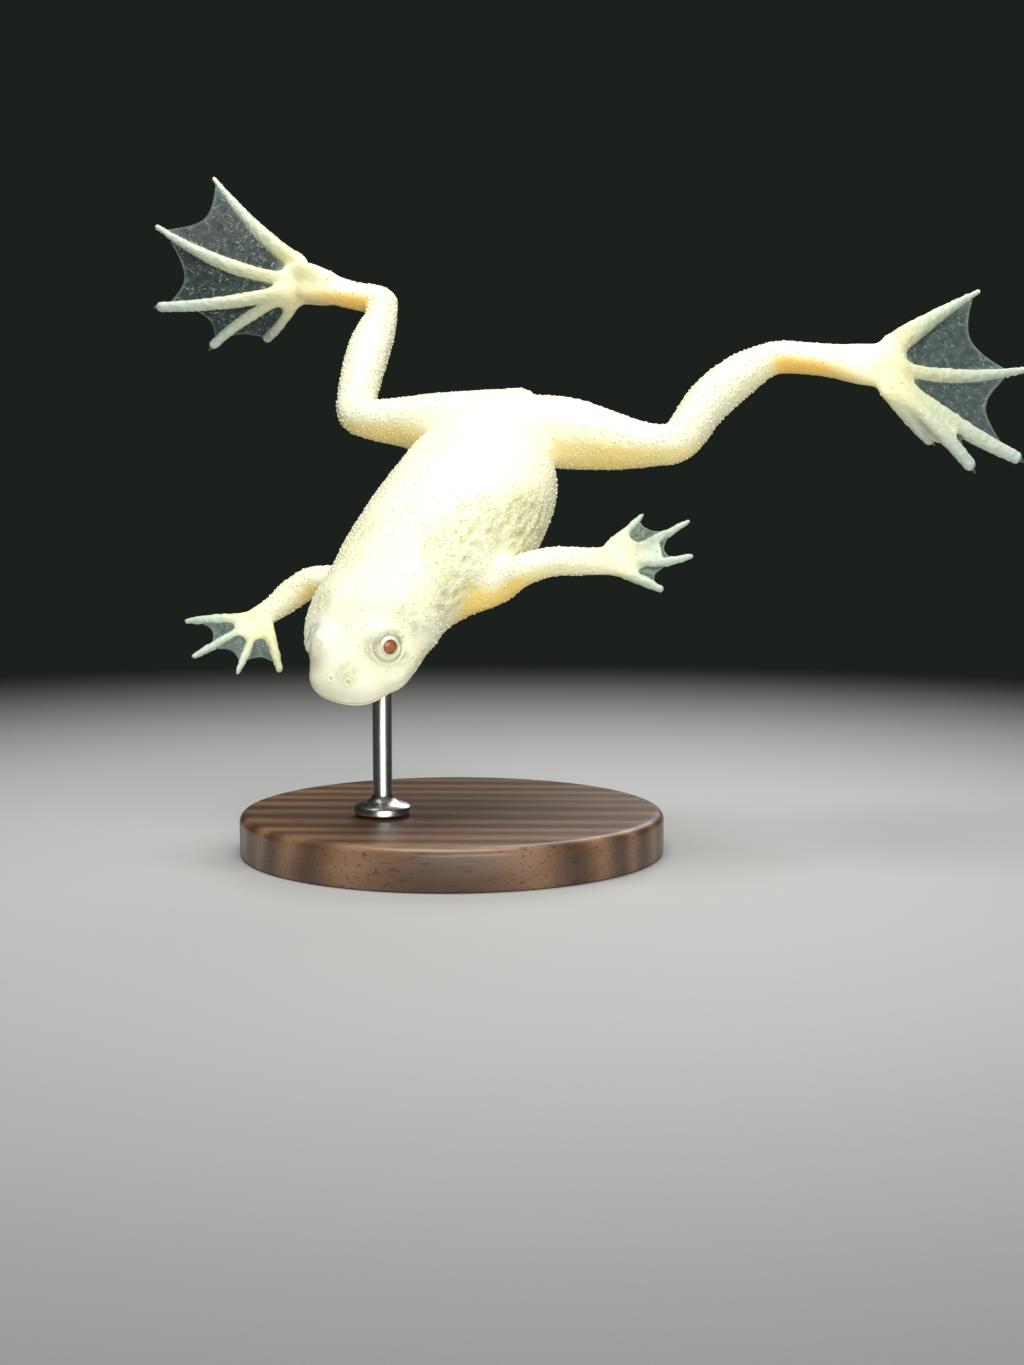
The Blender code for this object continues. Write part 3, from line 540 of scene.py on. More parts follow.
def step(low, high, values):
    """A smooth rise from 0 at low to 1 at high."""
    t = np.clip((values - low) / (high - low), 0.0, 1.0)
    return t * t * (3 - 2 * t)


def bell(values, middle, width):
    return np.exp(-(((values - middle) / width) ** 2))


def distances(places, middle):
    return np.linalg.norm(places - np.array(middle), axis=1)


def patches(places, spots, core):
    """The strongest of several round patches at each place, each full within a share of its radius."""
    found = np.zeros(len(places))
    for middle, radius, strength in spots:
        found = np.maximum(found, strength * step(radius, radius * core, distances(places, middle)))
    return found


def blurred(mesh, values, weights, rounds):
    """Values at a mesh's points, each mixed with its neighbours' as much as its weight says."""
    ends = np.empty(len(mesh.edges) * 2, dtype=np.int32)
    mesh.edges.foreach_get("vertices", ends)
    ends = ends.reshape(-1, 2)
    count = np.maximum(np.bincount(ends.ravel(), minlength=len(values)), 1)
    values = values.copy()
    for _ in range(rounds):
        total = np.bincount(ends[:, 0], values[ends[:, 1]], len(values))
        total += np.bincount(ends[:, 1], values[ends[:, 0]], len(values))
        values += weights * (total / count - values)
    return values


def soften(mesh, weights, rounds):
    """Smooth a mesh as much as the weight of each of its points says."""
    columns = [blurred(mesh, column, weights, rounds) for column in read(mesh.vertices, "co").T]
    write_points(mesh, np.stack(columns, axis=1))


def nearest_on_path(places, path):
    """For each place: the nearest point on a path, the path's direction there, and its share of the path."""
    path = np.array([tuple(p) for p in path])
    starts, spans = path[:-1], path[1:] - path[:-1]
    lengths = np.linalg.norm(spans, axis=1)
    before = np.concatenate([[0.0], np.cumsum(lengths)])
    offset = places[:, None, :] - starts[None]
    t = np.clip((offset * spans[None]).sum(2) / (lengths**2)[None], 0.0, 1.0)
    gap = np.linalg.norm(offset - t[..., None] * spans[None], axis=2)
    best = gap.argmin(1)
    rows = np.arange(len(places))
    share = (before[best] + t[rows, best] * lengths[best]) / before[-1]
    return starts[best] + t[rows, best][:, None] * spans[best], spans[best] / lengths[best][:, None], share


def finished(name, mesh, material):
    """Carry a mesh from the body frame into the world, and make it an object with its material."""
    mesh.transform(Matrix.Scale(MM, 4) @ pose_matrix())
    return placed(name, mesh, material)


def placed(name, mesh, material, smooth=True):
    mesh.materials.clear()
    mesh.materials.append(material)
    if smooth:
        mesh.shade_smooth()
    obj = bpy.data.objects.new(name, mesh)
    bpy.context.scene.collection.objects.link(obj)
    return obj


# Skin


def body_mesh(settings):
    """Trunk, head, limbs and eye mounds, blended into one smooth surface."""
    bm = bmesh.new()
    count, sides = 120, 72
    rings = []
    for k in range(count + 1):
        x = RUMP_X + (SNOUT_X - RUMP_X) * k / count
        rings.append([skin_point(x, 360 * j / sides) for j in range(sides)])
    add_loft(bm, rings)
    for rows in LIMBS.values():
        add_tube(bm, rows, 36, 7)
    for side in (1, -1):
        bmesh.ops.create_uvsphere(bm, u_segments=40, v_segments=20, radius=EYE_MOUND_RADIUS,
                                  matrix=Matrix.Translation(eye_place(side, 0)))
    for middle, radius in KNOBS:
        bmesh.ops.create_uvsphere(bm, u_segments=24, v_segments=12, radius=radius,
                                  matrix=Matrix.Translation(middle))
    voxel = settings.blend_voxel / MM
    mesh = shaped(to_mesh(bm, "body"),
                  ("REMESH", {"mode": "VOXEL", "voxel_size": voxel}),
                  ("SMOOTH", {"iterations": settings.blend_smoothing}))
    places = read(mesh.vertices, "co")
    weights = patches(places, SHOULDERS, 0.4)
    for side in (1, -1):
        middle = np.array(eye_place(side, 0))
        axis = np.array((eye_place(side, 1) - eye_place(side, 0)).normalized())
        offset = places - middle
        away = np.linalg.norm(offset, axis=1)
        outward = np.linalg.norm(offset - (offset @ axis)[:, None] * axis, axis=1)
        kept = step(MOUND_KEPT[1], MOUND_KEPT[0], outward) * (offset @ axis > 0)
        weights = np.maximum(weights, 0.5 * step(MOUND_BLEND, MOUND_BLEND * 0.7, away) * (1 - kept))
    soften(mesh, weights, settings.shoulder_smoothing)
    return mesh


def add_sheet(bm, sheet, halves, wave=None):
    """A closed membrane over a grid of points, as thick as each row's half thickness says.

    Returns each face with the rows and columns of its corners, for a UV map.
    """
    rows, across = len(sheet) - 1, len(sheet[0]) - 1
    sides = []
    for face in (1, -1):
        grid = []
        for r in range(rows + 1):
            line = []
            for c in range(across + 1):
                along = sheet[min(r + 1, rows)][c] - sheet[max(r - 1, 0)][c]
                over = sheet[r][min(c + 1, across)] - sheet[r][max(c - 1, 0)]
                normal = along.cross(over).normalized()
                lift = halves[r] * face + (wave(r, c) if wave else 0.0)
                line.append(bm.verts.new(sheet[r][c] + normal * lift))
            grid.append(line)
        sides.append(grid)
    made = []
    for grid in sides:
        for r in range(rows):
            for c in range(across):
                places = [(r, c), (r, c + 1), (r + 1, c + 1), (r + 1, c)]
                made.append((bm.faces.new([grid[i][j] for i, j in places]), places))
    edge = [(0, c) for c in range(across)] + [(r, across) for r in range(rows)]
    edge += [(rows, c) for c in range(across, 0, -1)] + [(r, 0) for r in range(rows, 0, -1)]
    for start, end in zip(edge, edge[1:] + edge[:1]):
        corners = [sides[0][start[0]][start[1]], sides[0][end[0]][end[1]],
                   sides[1][end[0]][end[1]], sides[1][start[0]][start[1]]]
        made.append((bm.faces.new(corners), [start, end, end, start]))
    return made


def add_fan(bm, name):
    """The palm and digits of one foot or hand, with the flesh between the digits' roots."""
    limb, palm_half, palm_thick, shift = PALMS[name]
    digits = DIGITS[name]
    rows = LIMBS[limb][-2:]
    start, first, last = Vector(rows[0][:3]), Vector(digits[0][2]), Vector(digits[-1][2])
    up = (first - start).cross(last - start).normalized()
    if up.z < 0:
        up = -up
    middle = sum((Vector(d[0]) for d in digits), Vector()) / len(digits)
    middle += (Vector(digits[-1][0]) - Vector(digits[0][0])).normalized() * shift
    heel = Vector(rows[1][:3])
    beyond = middle + (middle - heel).normalized() * palm_half * PALM_REACH
    rows += [(*middle, palm_half, palm_thick), (*beyond, palm_half * PALM_SPREAD, PALM_EDGE)]
    add_tube(bm, rows, 32, 5, up, ((0.85, 0.6), (0.6, 1.1), (0.25, 1.6)))
    roots = []
    for digit in digits:
        base = digit[3][0]
        root = Vector(digit[0]).lerp(heel, DIGIT_ROOT)
        roots.append(root)
        spine = [(*root, base * 0.6, base * 0.4)]
        for k in range(11):
            share = 0.04 + 0.95 * k / 10
            wide = digit_width(digit, share) + SKIN_SWELL
            spine.append((*curve_point(digit, share), wide, wide * ease(DIGIT_FLATNESS, share)[0]))
        add_tube(bm, spine, 20, 2, up)
    inner, outer, across = 4, 8, 6
    rows = range(inner + outer + 1)
    for k, (near, far, half) in enumerate(FLESH[name]):
        sheet = []
        for r in rows:
            a, b = (roots[i].lerp(curve_point(digits[i], 0), r / inner) if r < inner
                    else curve_point(digits[i], reach * (r - inner) / outer)
                    for i, reach in ((k, near), (k + 1, far)))
            sheet.append([a.lerp(b, c / across) for c in range(across + 1)])
        add_sheet(bm, sheet, [half - FLESH_TAPER * r for r in rows])


def refine(mesh, wanted, spacing):
    """Split the edges inside a region that are longer than the spacing, in three rounds at most."""
    bm = bmesh.new()
    bm.from_mesh(mesh)
    for _ in range(3):
        places = np.array([v.co for v in bm.verts])
        inside = wanted(places)
        edges = [e for e in bm.edges
                 if (inside[e.verts[0].index] or inside[e.verts[1].index]) and e.calc_length() > spacing]
        if not edges:
            break
        bmesh.ops.subdivide_edges(bm, edges=edges, cuts=1)
        bmesh.ops.triangulate(bm, faces=[f for f in bm.faces if len(f.verts) > 3])
        bm.verts.index_update()
    bm.to_mesh(mesh)
    bm.free()


def mouth_line(tree):
    """Points round the snout along the mouth, on the head's own surface."""
    left = [skin_point(x, MOUTH_DEG) for x in MOUTH_XS]
    right = [skin_point(x, 180 - MOUTH_DEG) for x in reversed(MOUTH_XS)]
    front = along_spine(SNOUT_X, 0, ease(TRUNK, SNOUT_X)[3] + 0.35 * math.sin(math.radians(MOUTH_DEG)))
    points = [tuple(tree.find_nearest(p)[0]) for p in left + [front] + right]
    return [tuple(tree.find_nearest(Vector(p))[0]) for p in curve_through(points, 5)]


def carve_mouth(places, normals, line, depth):
    """Press the mouth's line into the skin between its lips, and tell how deep in it each place lies."""
    ahead = np.nonzero(places[:, 0] > FACE_X)[0]
    near, along, share = nearest_on_path(places[ahead], line)
    upward = np.cross(along, normals[ahead])
    upward *= np.sign(upward[:, 2:3])
    offset = ((places[ahead] - near) * upward).sum(1)
    away = np.linalg.norm(places[ahead] - near, axis=1)
    ends = step(0.0, 0.09, share) * step(1.0, 0.91, share)
    lips = 0.06 * bell(offset, LIP_OUT, 0.13) + 0.07 * bell(offset, -LIP_OUT, 0.14)
    moved = (lips - depth * bell(offset, 0.0, 0.06)) * ends * (away < 0.9)
    places[ahead] += normals[ahead] * moved[:, None]
    mouth = np.zeros(len(places))
    mouth[ahead] = bell(offset, 0.0, 0.09) * ends * (away < 0.5)
    return mouth


def carve_nostril(places, normals, middle):
    """Press a nostril inside its rim into the skin, and tell how deep in it each place lies."""
    away = distances(places, middle)
    moved = 0.025 * bell(away, 0.22, NOSTRIL_RADIUS) - 0.2 * bell(away, 0.0, NOSTRIL_RADIUS)
    places += normals * moved[:, None]
    return bell(away, 0.0, 0.1)


def raise_lids(places, side, middle, axis, settings):
    """Raise the lids and the fold round an eyeball, and tell where the lids, the fold and its shade are."""
    radius = settings.eye_radius / MM
    offset = places - middle
    height = offset @ axis
    outward = offset - height[:, None] * axis
    away = np.linalg.norm(outward, axis=1)
    fold_side = np.array((FOLD_SIDE[0], side * FOLD_SIDE[1], FOLD_SIDE[2]))
    toward = outward @ fold_side / np.maximum(away, 0.05)
    folded = step(-0.35, 0.35, toward)
    near = (away < 2.2) & (height > -0.9)
    ball = np.sqrt(np.maximum(radius**2 - away**2, 0.0))
    groove = bell(away, FOLD_RADIUS, 0.07)
    ridge = settings.lid_height / MM * bell(away, LID_RADIUS, 0.17) - (0.03 + 0.13 * folded) * groove
    ridge += 0.09 * folded * bell(away, 1.42, 0.13)
    raised = height + ridge
    sunk = np.minimum(raised, ball - 0.14)
    target = sunk + (raised - sunk) * step(0.76, 0.83, away)
    places += np.where(near, target - height, 0.0)[:, None] * axis
    marks = {"lid": step(FOLD_RADIUS, 1.05, away), "lid_line": folded * groove,
             "lid_shade": step(0.3, -0.4, toward) * bell(away, 1.0, 0.4)}
    return {name: np.where(near, mark, 0.0) for name, mark in marks.items()}


def shape_face(mesh, settings):
    """Lids round the eyes, the mouth line between its lips, and the nostrils."""
    tree = BVHTree.FromPolygons([v.co for v in mesh.vertices], [p.vertices for p in mesh.polygons])
    line = mouth_line(tree)
    eyes, nostrils = [], []
    for side in (1, -1):
        middle = eye_place(side, EYE_OUT)
        axis = (eye_place(side, EYE_OUT + 1) - middle).normalized()
        eyes.append((side, np.array(middle), np.array(axis)))
        x, y = NOSTRIL_PLACE
        above = along_spine(x, side * y, ease(TRUNK, x)[1] + ease(TRUNK, x)[3])
        nostrils.append(np.array(tree.find_nearest(above)[0]))

    def near_features(places):
        found = np.zeros(len(places), dtype=bool)
        for _, middle, _ in eyes:
            found |= distances(places, middle) < EYE_REACH
        for middle in nostrils:
            found |= distances(places, middle) < NOSTRIL_REACH
        ahead = np.nonzero(places[:, 0] > FACE_X)[0]
        near, _, _ = nearest_on_path(places[ahead], line)
        found[ahead] |= np.linalg.norm(places[ahead] - near, axis=1) < MOUTH_REACH
        return found

    refine(mesh, near_features, settings.face_spacing / MM)
    soften(mesh, 0.5 * near_features(read(mesh.vertices, "co")), 4)
    places, normals = surface(mesh)
    mouth = carve_mouth(places, normals, line, settings.mouth_depth / MM)
    for middle in nostrils:
        mouth = np.maximum(mouth, carve_nostril(places, normals, middle))
    lids = {name: np.zeros(len(places)) for name in ("lid", "lid_line", "lid_shade")}
    for side, middle, axis in eyes:
        for name, mark in raise_lids(places, side, middle, axis, settings).items():
            lids[name] = np.maximum(lids[name], mark)
    write_points(mesh, places)
    store(mesh, {**lids, "mouth": mouth})


def shape_creases(mesh):
    """Creases behind the left arm and at the groins."""
    places, normals = surface(mesh)
    moved = np.zeros(len(places))
    for points, width, depth in CREASES:
        close = np.nonzero(distances(places, np.array(points).mean(0)) < 5.0)[0]
        near, _, share = nearest_on_path(places[close], curve_through(points, 8))
        away = np.linalg.norm(places[close] - near, axis=1)
        ends = step(0.0, 0.3, share) * step(1.0, 0.7, share)
        moved[close] -= depth * bell(away, 0.0, width) * ends
        moved[close] += depth * 0.3 * bell(away, width * 2.2, width) * ends
    places += normals * moved[:, None]
    write_points(mesh, places)


def limb_share(places):
    """For each place: its depth in the nearest leg and arm, and its share of that limb."""
    found = {}
    for kind in ("leg", "arm"):
        depth = np.full(len(places), BEYOND)
        share = np.zeros(len(places))
        for name, rows in LIMBS.items():
            if not name.endswith(kind):
                continue
            path = np.array(curve_through(rows, 4))
            for k, row in enumerate(path):
                ratio = distances(places, row[:3]) / row[3]
                closer = ratio < depth
                depth[closer] = ratio[closer]
                share[closer] = k / (len(path) - 1)
        found[kind] = (depth, share)
    return found


def digit_share(places):
    """For each place: its depth in the nearest digit, its share of it, and a place for its streaks."""
    depth = np.full(len(places), BEYOND)
    share = np.zeros(len(places))
    fibre = np.zeros((len(places), 3))
    for name, digits in DIGITS.items():
        root = np.array(digits[0][0])
        close = np.nonzero(distances(places, root) < 22.0)[0]
        for number, digit in enumerate(digits):
            for k in range(33):
                t = k / 32
                place = np.array(curve_point(digit, t))
                offset = places[close] - place
                ratio = np.linalg.norm(offset, axis=1) / digit_width(digit, t)
                closer = ratio < depth[close]
                rows = close[closer]
                depth[rows] = ratio[closer]
                share[rows] = t
                fibre[rows] = np.stack([np.full(closer.sum(), t * 10 + number * 3.7), offset[closer][:, 0],
                                        offset[closer][:, 2]], axis=1)
    return depth, share, fibre


def hand_share(places):
    """For each place: how far it lies beyond a hand's palm, as a share from 0 to 1."""
    hand = np.zeros(len(places))
    for digits in (DIGITS["hand_left"], DIGITS["hand_right"]):
        middle = sum(np.array(digit[0]) for digit in digits) / len(digits)
        ahead = sum(np.array(digit[2]) for digit in digits) / len(digits) - middle
        offset = places - middle
        close = np.linalg.norm(offset, axis=1) < 7.5
        hand = np.maximum(hand, close * step(0.2, 2.4, offset @ (ahead / np.linalg.norm(ahead))))
    return hand


def paint_skin(mesh):
    """Store what the skin's material needs to know of each place: where it is, how it is tinted and where
    shade is painted on it.

    A depth is 0 on the middle line of a limb or digit and 1 at its surface, and a share runs from its
    root (0) to its end (1).
    """
    places, normals = surface(mesh)
    turn = np.array(pose_matrix().to_3x3())
    down = -(normals @ turn.T)[:, 2]
    limbs = limb_share(places)
    (leg_depth, leg_share), (arm_depth, arm_share) = limbs["leg"], limbs["arm"]
    depth, share, fibre = digit_share(places)
    digit = step(1.6, 1.15, depth) * step(0.0, 0.22, share)
    # Amber is painted on the limbs' sides that face down in the world: painted shade, warmed as by light
    # through the flesh
    amber = np.zeros(len(places))
    limb = np.zeros(len(places))
    for kind, table in (("leg", LEG_AMBER_SHADE), ("arm", ARM_AMBER_SHADE)):
        deep, along = limbs[kind]
        inside = step(1.5, 1.15, deep)
        shares = [row[0] for row in table]
        strength = np.interp(along, shares, [row[1] for row in table])
        reach = np.interp(along, shares, [row[2] for row in table])
        amber = np.maximum(amber, strength * inside * step(-reach, 0.12 - reach, down))
        limb = np.maximum(limb, inside * step(0.12, 0.3, along))
    amber = blurred(mesh, amber, 0.5, 12)
    # On the feet the palm's yellow is painted only on their sides that don't face up in the world, carrying
    # on the amber's painted shade; on the hands it lies all round
    palm = step(3.2, 1.6, leg_depth) * step(0.86, 1.0, leg_share) * step(-1.2, 0.1, down)
    palm = np.maximum(palm, 0.8 * step(2.6, 1.3, arm_depth) * step(0.72, 1.0, arm_share))
    palm = blurred(mesh, palm, 0.5, 60)
    amber *= 1 - digit
    # Skin facing down in the body frame, painted in the duller cream as shade
    belly = step(0.1, 0.8, -normals[:, 2]) * (1 - limb)
    mottle = patches(places, MOTTLES, 0.35)
    lid, mouth = stored(mesh, "lid"), stored(mesh, "mouth")
    back = step(0.55, 0.9, normals[:, 2]) * (1 - step(0.1, 0.5, mottle))
    grain = (1 - digit) * (1 - step(0.15, 0.5, lid)) * (1 - step(0.1, 0.4, mouth)) * (1 - 0.8 * belly)
    grain *= 1 - 0.6 * back * (1 - limb)
    fewer = 0.5 * step(*THINNER_HEAD, places[:, 0]) + 0.45 * step(*THINNER_SNOUT, places[:, 0])
    grain *= 1 - fewer * (1 - limb)
    grain *= 1 - step(0.85, 0.97, leg_share) * step(1.6, 1.2, leg_depth)
    grain *= 1 - step(0.75, 0.95, arm_share) * step(1.6, 1.2, arm_depth)
    digit = blurred(mesh, digit, 0.5, 8)
    store(mesh, {
        "dusk": np.maximum(stored(mesh, "lid_shade"), patches(places, EYE_SHADES, 0.3)),
        "amber": amber,
        "mottle": mottle * (1 - limb),
        "digit": digit,
        "tip": share * digit,
        "palm": palm * (1 - blurred(mesh, step(0.1, 0.5, share * digit), 0.5, 10)),
        "sallow": patches(places, SALLOW, 0.4),
        "hand": hand_share(places),
        "belly": belly,
        "fibre": fibre,
        "trunk_grain": grain * (1 - limb),
        "limb_grain": grain * limb * (1 - 0.75 * amber),
    })


def wrinkle(mesh, settings):
    """Fine wrinkles of the loose skin, deeper on the flanks than on the limbs, and the digits' lumps."""
    places, normals = surface(mesh)
    trunk = stored(mesh, "trunk_grain")
    limb = stored(mesh, "limb_grain")
    mottle = stored(mesh, "mottle")
    strength = settings.wrinkle_depth / MM * (trunk * (0.35 + 0.65 * mottle) + 0.4 * limb)
    strength *= 1 + 0.6 * mottle
    digit = settings.digit_relief / MM * stored(mesh, "digit")
    hollow = np.zeros(len(places))
    busy = np.nonzero(strength + digit > LEAST_RELIEF)[0]
    size = settings.wrinkle_size / MM
    lumps = np.empty(len(busy))
    relief = np.empty(len(busy))
    for k, row in enumerate(busy):
        x, y, z = places[row]
        wide = noise.noise(Vector((x / size * 0.8, y / size * 1.25, z / size)))
        fine = noise.noise(Vector((x / size * 2.1 + 40, y / size * 2.1, z / size * 2.1)))
        relief[k] = 1 - 2 * abs(wide) + 0.4 * fine
        lumps[k] = noise.noise(Vector((x * 2.6, y * 2.6, z * 2.6)))
    places[busy] += normals[busy] * (strength[busy] * (relief - 0.6) + digit[busy] * lumps)[:, None]
    # The wrinkles' low places, painted darker in the skin's material as shade
    hollow[busy] = step(0.75, 0.1, relief) * (strength[busy] > LEAST_RELIEF)
    write_points(mesh, places)
    store(mesh, {"hollow": hollow})


def skin_mesh(settings):
    bm = bmesh.new()
    body = body_mesh(settings)
    bm.from_mesh(body)
    bpy.data.meshes.remove(body)
    for name in PALMS:
        add_fan(bm, name)
    mesh = shaped(to_mesh(bm, "frog_skin"),
                  ("REMESH", {"mode": "VOXEL", "voxel_size": settings.voxel / MM}),
                  ("SMOOTH", {"iterations": 2}),
                  ("TRIANGULATE", {}))
    places = read(mesh.vertices, "co")
    palms = np.zeros(len(places))
    for name, (_, half, _, _) in PALMS.items():
        bases = [np.array(digit[0]) for digit in DIGITS[name]]
        middle = sum(bases) / len(bases)
        away = distances(places, middle)
        palms = np.maximum(palms, 0.5 * step(half * 2.9, half * 1.4, away))
    soften(mesh, palms, settings.palm_smoothing)
    kept = settings.triangles / len(mesh.polygons)
    mesh = shaped(mesh, ("DECIMATE", {"ratio": kept}))
    shape_creases(mesh)
    shape_face(mesh, settings)
    paint_skin(mesh)
    wrinkle(mesh, settings)
    return mesh


# Materials


class Nodes:
    """A node tree under construction: makes nodes, and links or sets their inputs by name."""

    def __init__(self, tree):
        self.tree = tree

    def add(self, kind, inputs=(), **settings):
        node = self.tree.nodes.new(kind)
        for key, value in settings.items():
            setattr(node, key, value)
        self.put_all(node, dict(inputs))
        return node

    def put_all(self, node, inputs):
        for key, value in inputs.items():
            self.put(node, key, value)

    def put(self, node, key, value):
        socket = node.inputs[key]
        if isinstance(value, bpy.types.NodeSocket):
            self.tree.links.new(value, socket)
        else:
            socket.default_value = coloured(value) if isinstance(value, Color) else value

    def place(self):
        return self.add("ShaderNodeTexCoord").outputs["Object"]

    def attribute(self, name, output="Fac"):
        return self.add("ShaderNodeAttribute", attribute_name=name).outputs[output]

    def math(self, operation, a, b=0.0, c=0.0):
        return self.add("ShaderNodeMath", {0: a, 1: b, 2: c}, operation=operation).outputs[0]

    def times(self, a, b):
        return self.math("MULTIPLY", a, b)

    def mix(self, share, a, b):
        return self.add("ShaderNodeMix", {0: share, 6: a, 7: b}, data_type="RGBA").outputs[2]

    def ramp(self, value, stops):
        node = self.add("ShaderNodeValToRGB", {"Fac": value})
        elements = node.color_ramp.elements
        for element, (place, colour) in zip(elements, (stops[0], stops[-1])):
            element.position = place
            element.color = colour
        for place, colour in stops[1:-1]:
            elements.new(place).color = colour
        return node.outputs["Color"]

    def fade(self, value, low, high, start=0.0, end=1.0):
        """A grey that goes from start to end while the value goes from low to high."""
        return self.ramp(value, [(low, grey(start)), (high, grey(end))])

    def remap(self, value, start, end, low=0.0, high=1.0, kind="LINEAR"):
        """A number that goes from start to end while the value goes from low to high."""
        node = self.add("ShaderNodeMapRange", {"Value": value, "From Min": low, "From Max": high,
                                               "To Min": start, "To Max": end}, interpolation_type=kind)
        return node.outputs["Result"]

    def noise(self, vector, scale, detail=4.0, roughness=0.55, distortion=0.0):
        node = self.add("ShaderNodeTexNoise", {"Vector": vector, "Scale": scale, "Detail": detail,
                                               "Roughness": roughness, "Distortion": distortion})
        return node.outputs["Fac"]

    def cells(self, vector, scale):
        return self.add("ShaderNodeTexVoronoi", {"Vector": vector, "Scale": scale}).outputs

    def spots(self, vector, scale, size, rarity):
        """Round spots in the middle of a few cells, fewer as the rarity nears 1."""
        cells = self.cells(vector, scale)
        spot = self.math("LESS_THAN", cells["Distance"], size)
        red = self.add("ShaderNodeSeparateColor", {"Color": cells["Color"]}).outputs["Red"]
        return self.times(spot, self.math("GREATER_THAN", red, rarity))

    def bump(self, height, strength, distance, under=None):
        node = self.add("ShaderNodeBump", {"Height": height, "Strength": strength, "Distance": distance})
        if under:
            self.put(node, "Normal", under)
        return node.outputs["Normal"]


def new_material(name):
    """A new material, the maker of its nodes, and its Principled shader."""
    found = bpy.data.materials.get(name)
    if found:
        bpy.data.materials.remove(found)
    material = bpy.data.materials.new(name)
    material.use_nodes = True
    nodes = Nodes(material.node_tree)
    return material, nodes, material.node_tree.nodes["Principled BSDF"]


def grey(value):
    return (value, value, value, 1.0)


def coloured(value):
    return (*value, 1.0)


def skin_material(settings):
    material, nodes, shader = new_material("frog_skin")
    place = nodes.place()
    cloud = nodes.noise(place, 240.0, 3.0)
    blotch = nodes.noise(place, 1150.0, 4.0, 0.6, 0.5)
    grain = nodes.noise(place, 2600.0, 3.0, 0.6, 0.3)

    colour = nodes.mix(nodes.math("MULTIPLY_ADD", cloud, 1.8, -0.45), settings.cream, settings.pale)
    mottle = nodes.attribute("mottle")
    colour = nodes.mix(nodes.times(mottle, 0.75), colour, settings.cream_shade)
    spotted = nodes.times(mottle, nodes.fade(blotch, 0.47, 0.6))
    colour = nodes.mix(nodes.times(spotted, 0.6), colour, settings.mottle)
    pale_grain = nodes.times(mottle, nodes.fade(grain, 0.52, 0.62))
    colour = nodes.mix(nodes.times(pale_grain, 0.6), colour, settings.pale)
    smooth_part = nodes.math("SUBTRACT", 1.0, nodes.attribute("granule"))
    # Painted shade in the wrinkles' low places, stronger in the mottles
    wrinkle_shade = nodes.times(nodes.attribute("hollow"), nodes.math("MULTIPLY_ADD", mottle, 0.7, 0.04))
    colour = nodes.mix(nodes.times(wrinkle_shade, smooth_part), colour, settings.mottle)
    # Granules are painted paler than the skin around them: a painted highlight on the raised grains
    colour = nodes.mix(nodes.times(nodes.attribute("granule"), 0.25), colour, settings.pale)
    # Painted shade: the belly and lower flanks in the duller cream
    colour = nodes.mix(nodes.times(nodes.attribute("belly"), 0.5), colour, settings.cream_shade)
    # The limbs' undersides are painted honey and then amber: painted shade, warmed as by light through the
    # flesh
    warm_shade = nodes.times(nodes.attribute("amber"), nodes.math("MULTIPLY_ADD", grain, 0.3, 0.85))
    colour = nodes.mix(nodes.math("MINIMUM", nodes.times(warm_shade, 1.5), 1.0), colour, settings.honey_shade)
    colour = nodes.mix(nodes.math("POWER", warm_shade, 3.0), colour, settings.amber)

    toe = nodes.mix(nodes.attribute("tip"), settings.toe_base, settings.toe_tip)
    streak = nodes.noise(nodes.attribute("fibre", "Vector"), 5.0, 3.0)
    toe = nodes.mix(nodes.times(nodes.fade(streak, 0.45, 0.65), 0.3), toe, settings.toe_shade)
    colour = nodes.mix(nodes.attribute("digit"), colour, toe)
    for name, share in (("hand", 0.8), ("sallow", 0.6), ("palm", 0.75), ("lid", 0.7)):
        colour = nodes.mix(nodes.times(nodes.attribute(name), share), colour, getattr(settings, name))

    # Painted shade round the eyes, over greyish skin, broken up by the blotches
    dusk = nodes.times(nodes.attribute("dusk"), nodes.math("MULTIPLY_ADD", blotch, 1.3, 0.15))
    colour = nodes.mix(dusk, colour, settings.lid_shade)
    # Painted shade in the grooves: the fold round the lids, the mouth's line and the nostrils
    dark = nodes.math("MAXIMUM", nodes.attribute("lid_line"), nodes.attribute("mouth"))
    colour = nodes.mix(nodes.times(dark, 0.55), colour, settings.line)

    speck = nodes.times(nodes.spots(place, 1300.0, 0.1, 0.93), nodes.times(mottle, 0.35))
    speck = nodes.times(speck, nodes.math("SUBTRACT", smooth_part, nodes.attribute("digit")))
    colour = nodes.mix(speck, colour, settings.speck)

    nodes.put_all(shader, {
        "Base Color": colour,
        "Roughness": nodes.remap(grain, 0.42, 0.6, 0.3, 0.7),
        "Specular IOR Level": 0.5,
        "Coat Weight": 0.1,
        "Coat Roughness": 0.3,
    })
    pores = nodes.bump(nodes.cells(place, 4200.0)["Distance"], 0.25, 0.00004)
    nodes.put(shader, "Normal", nodes.bump(blotch, 0.5, 0.00015, pores))
    return material


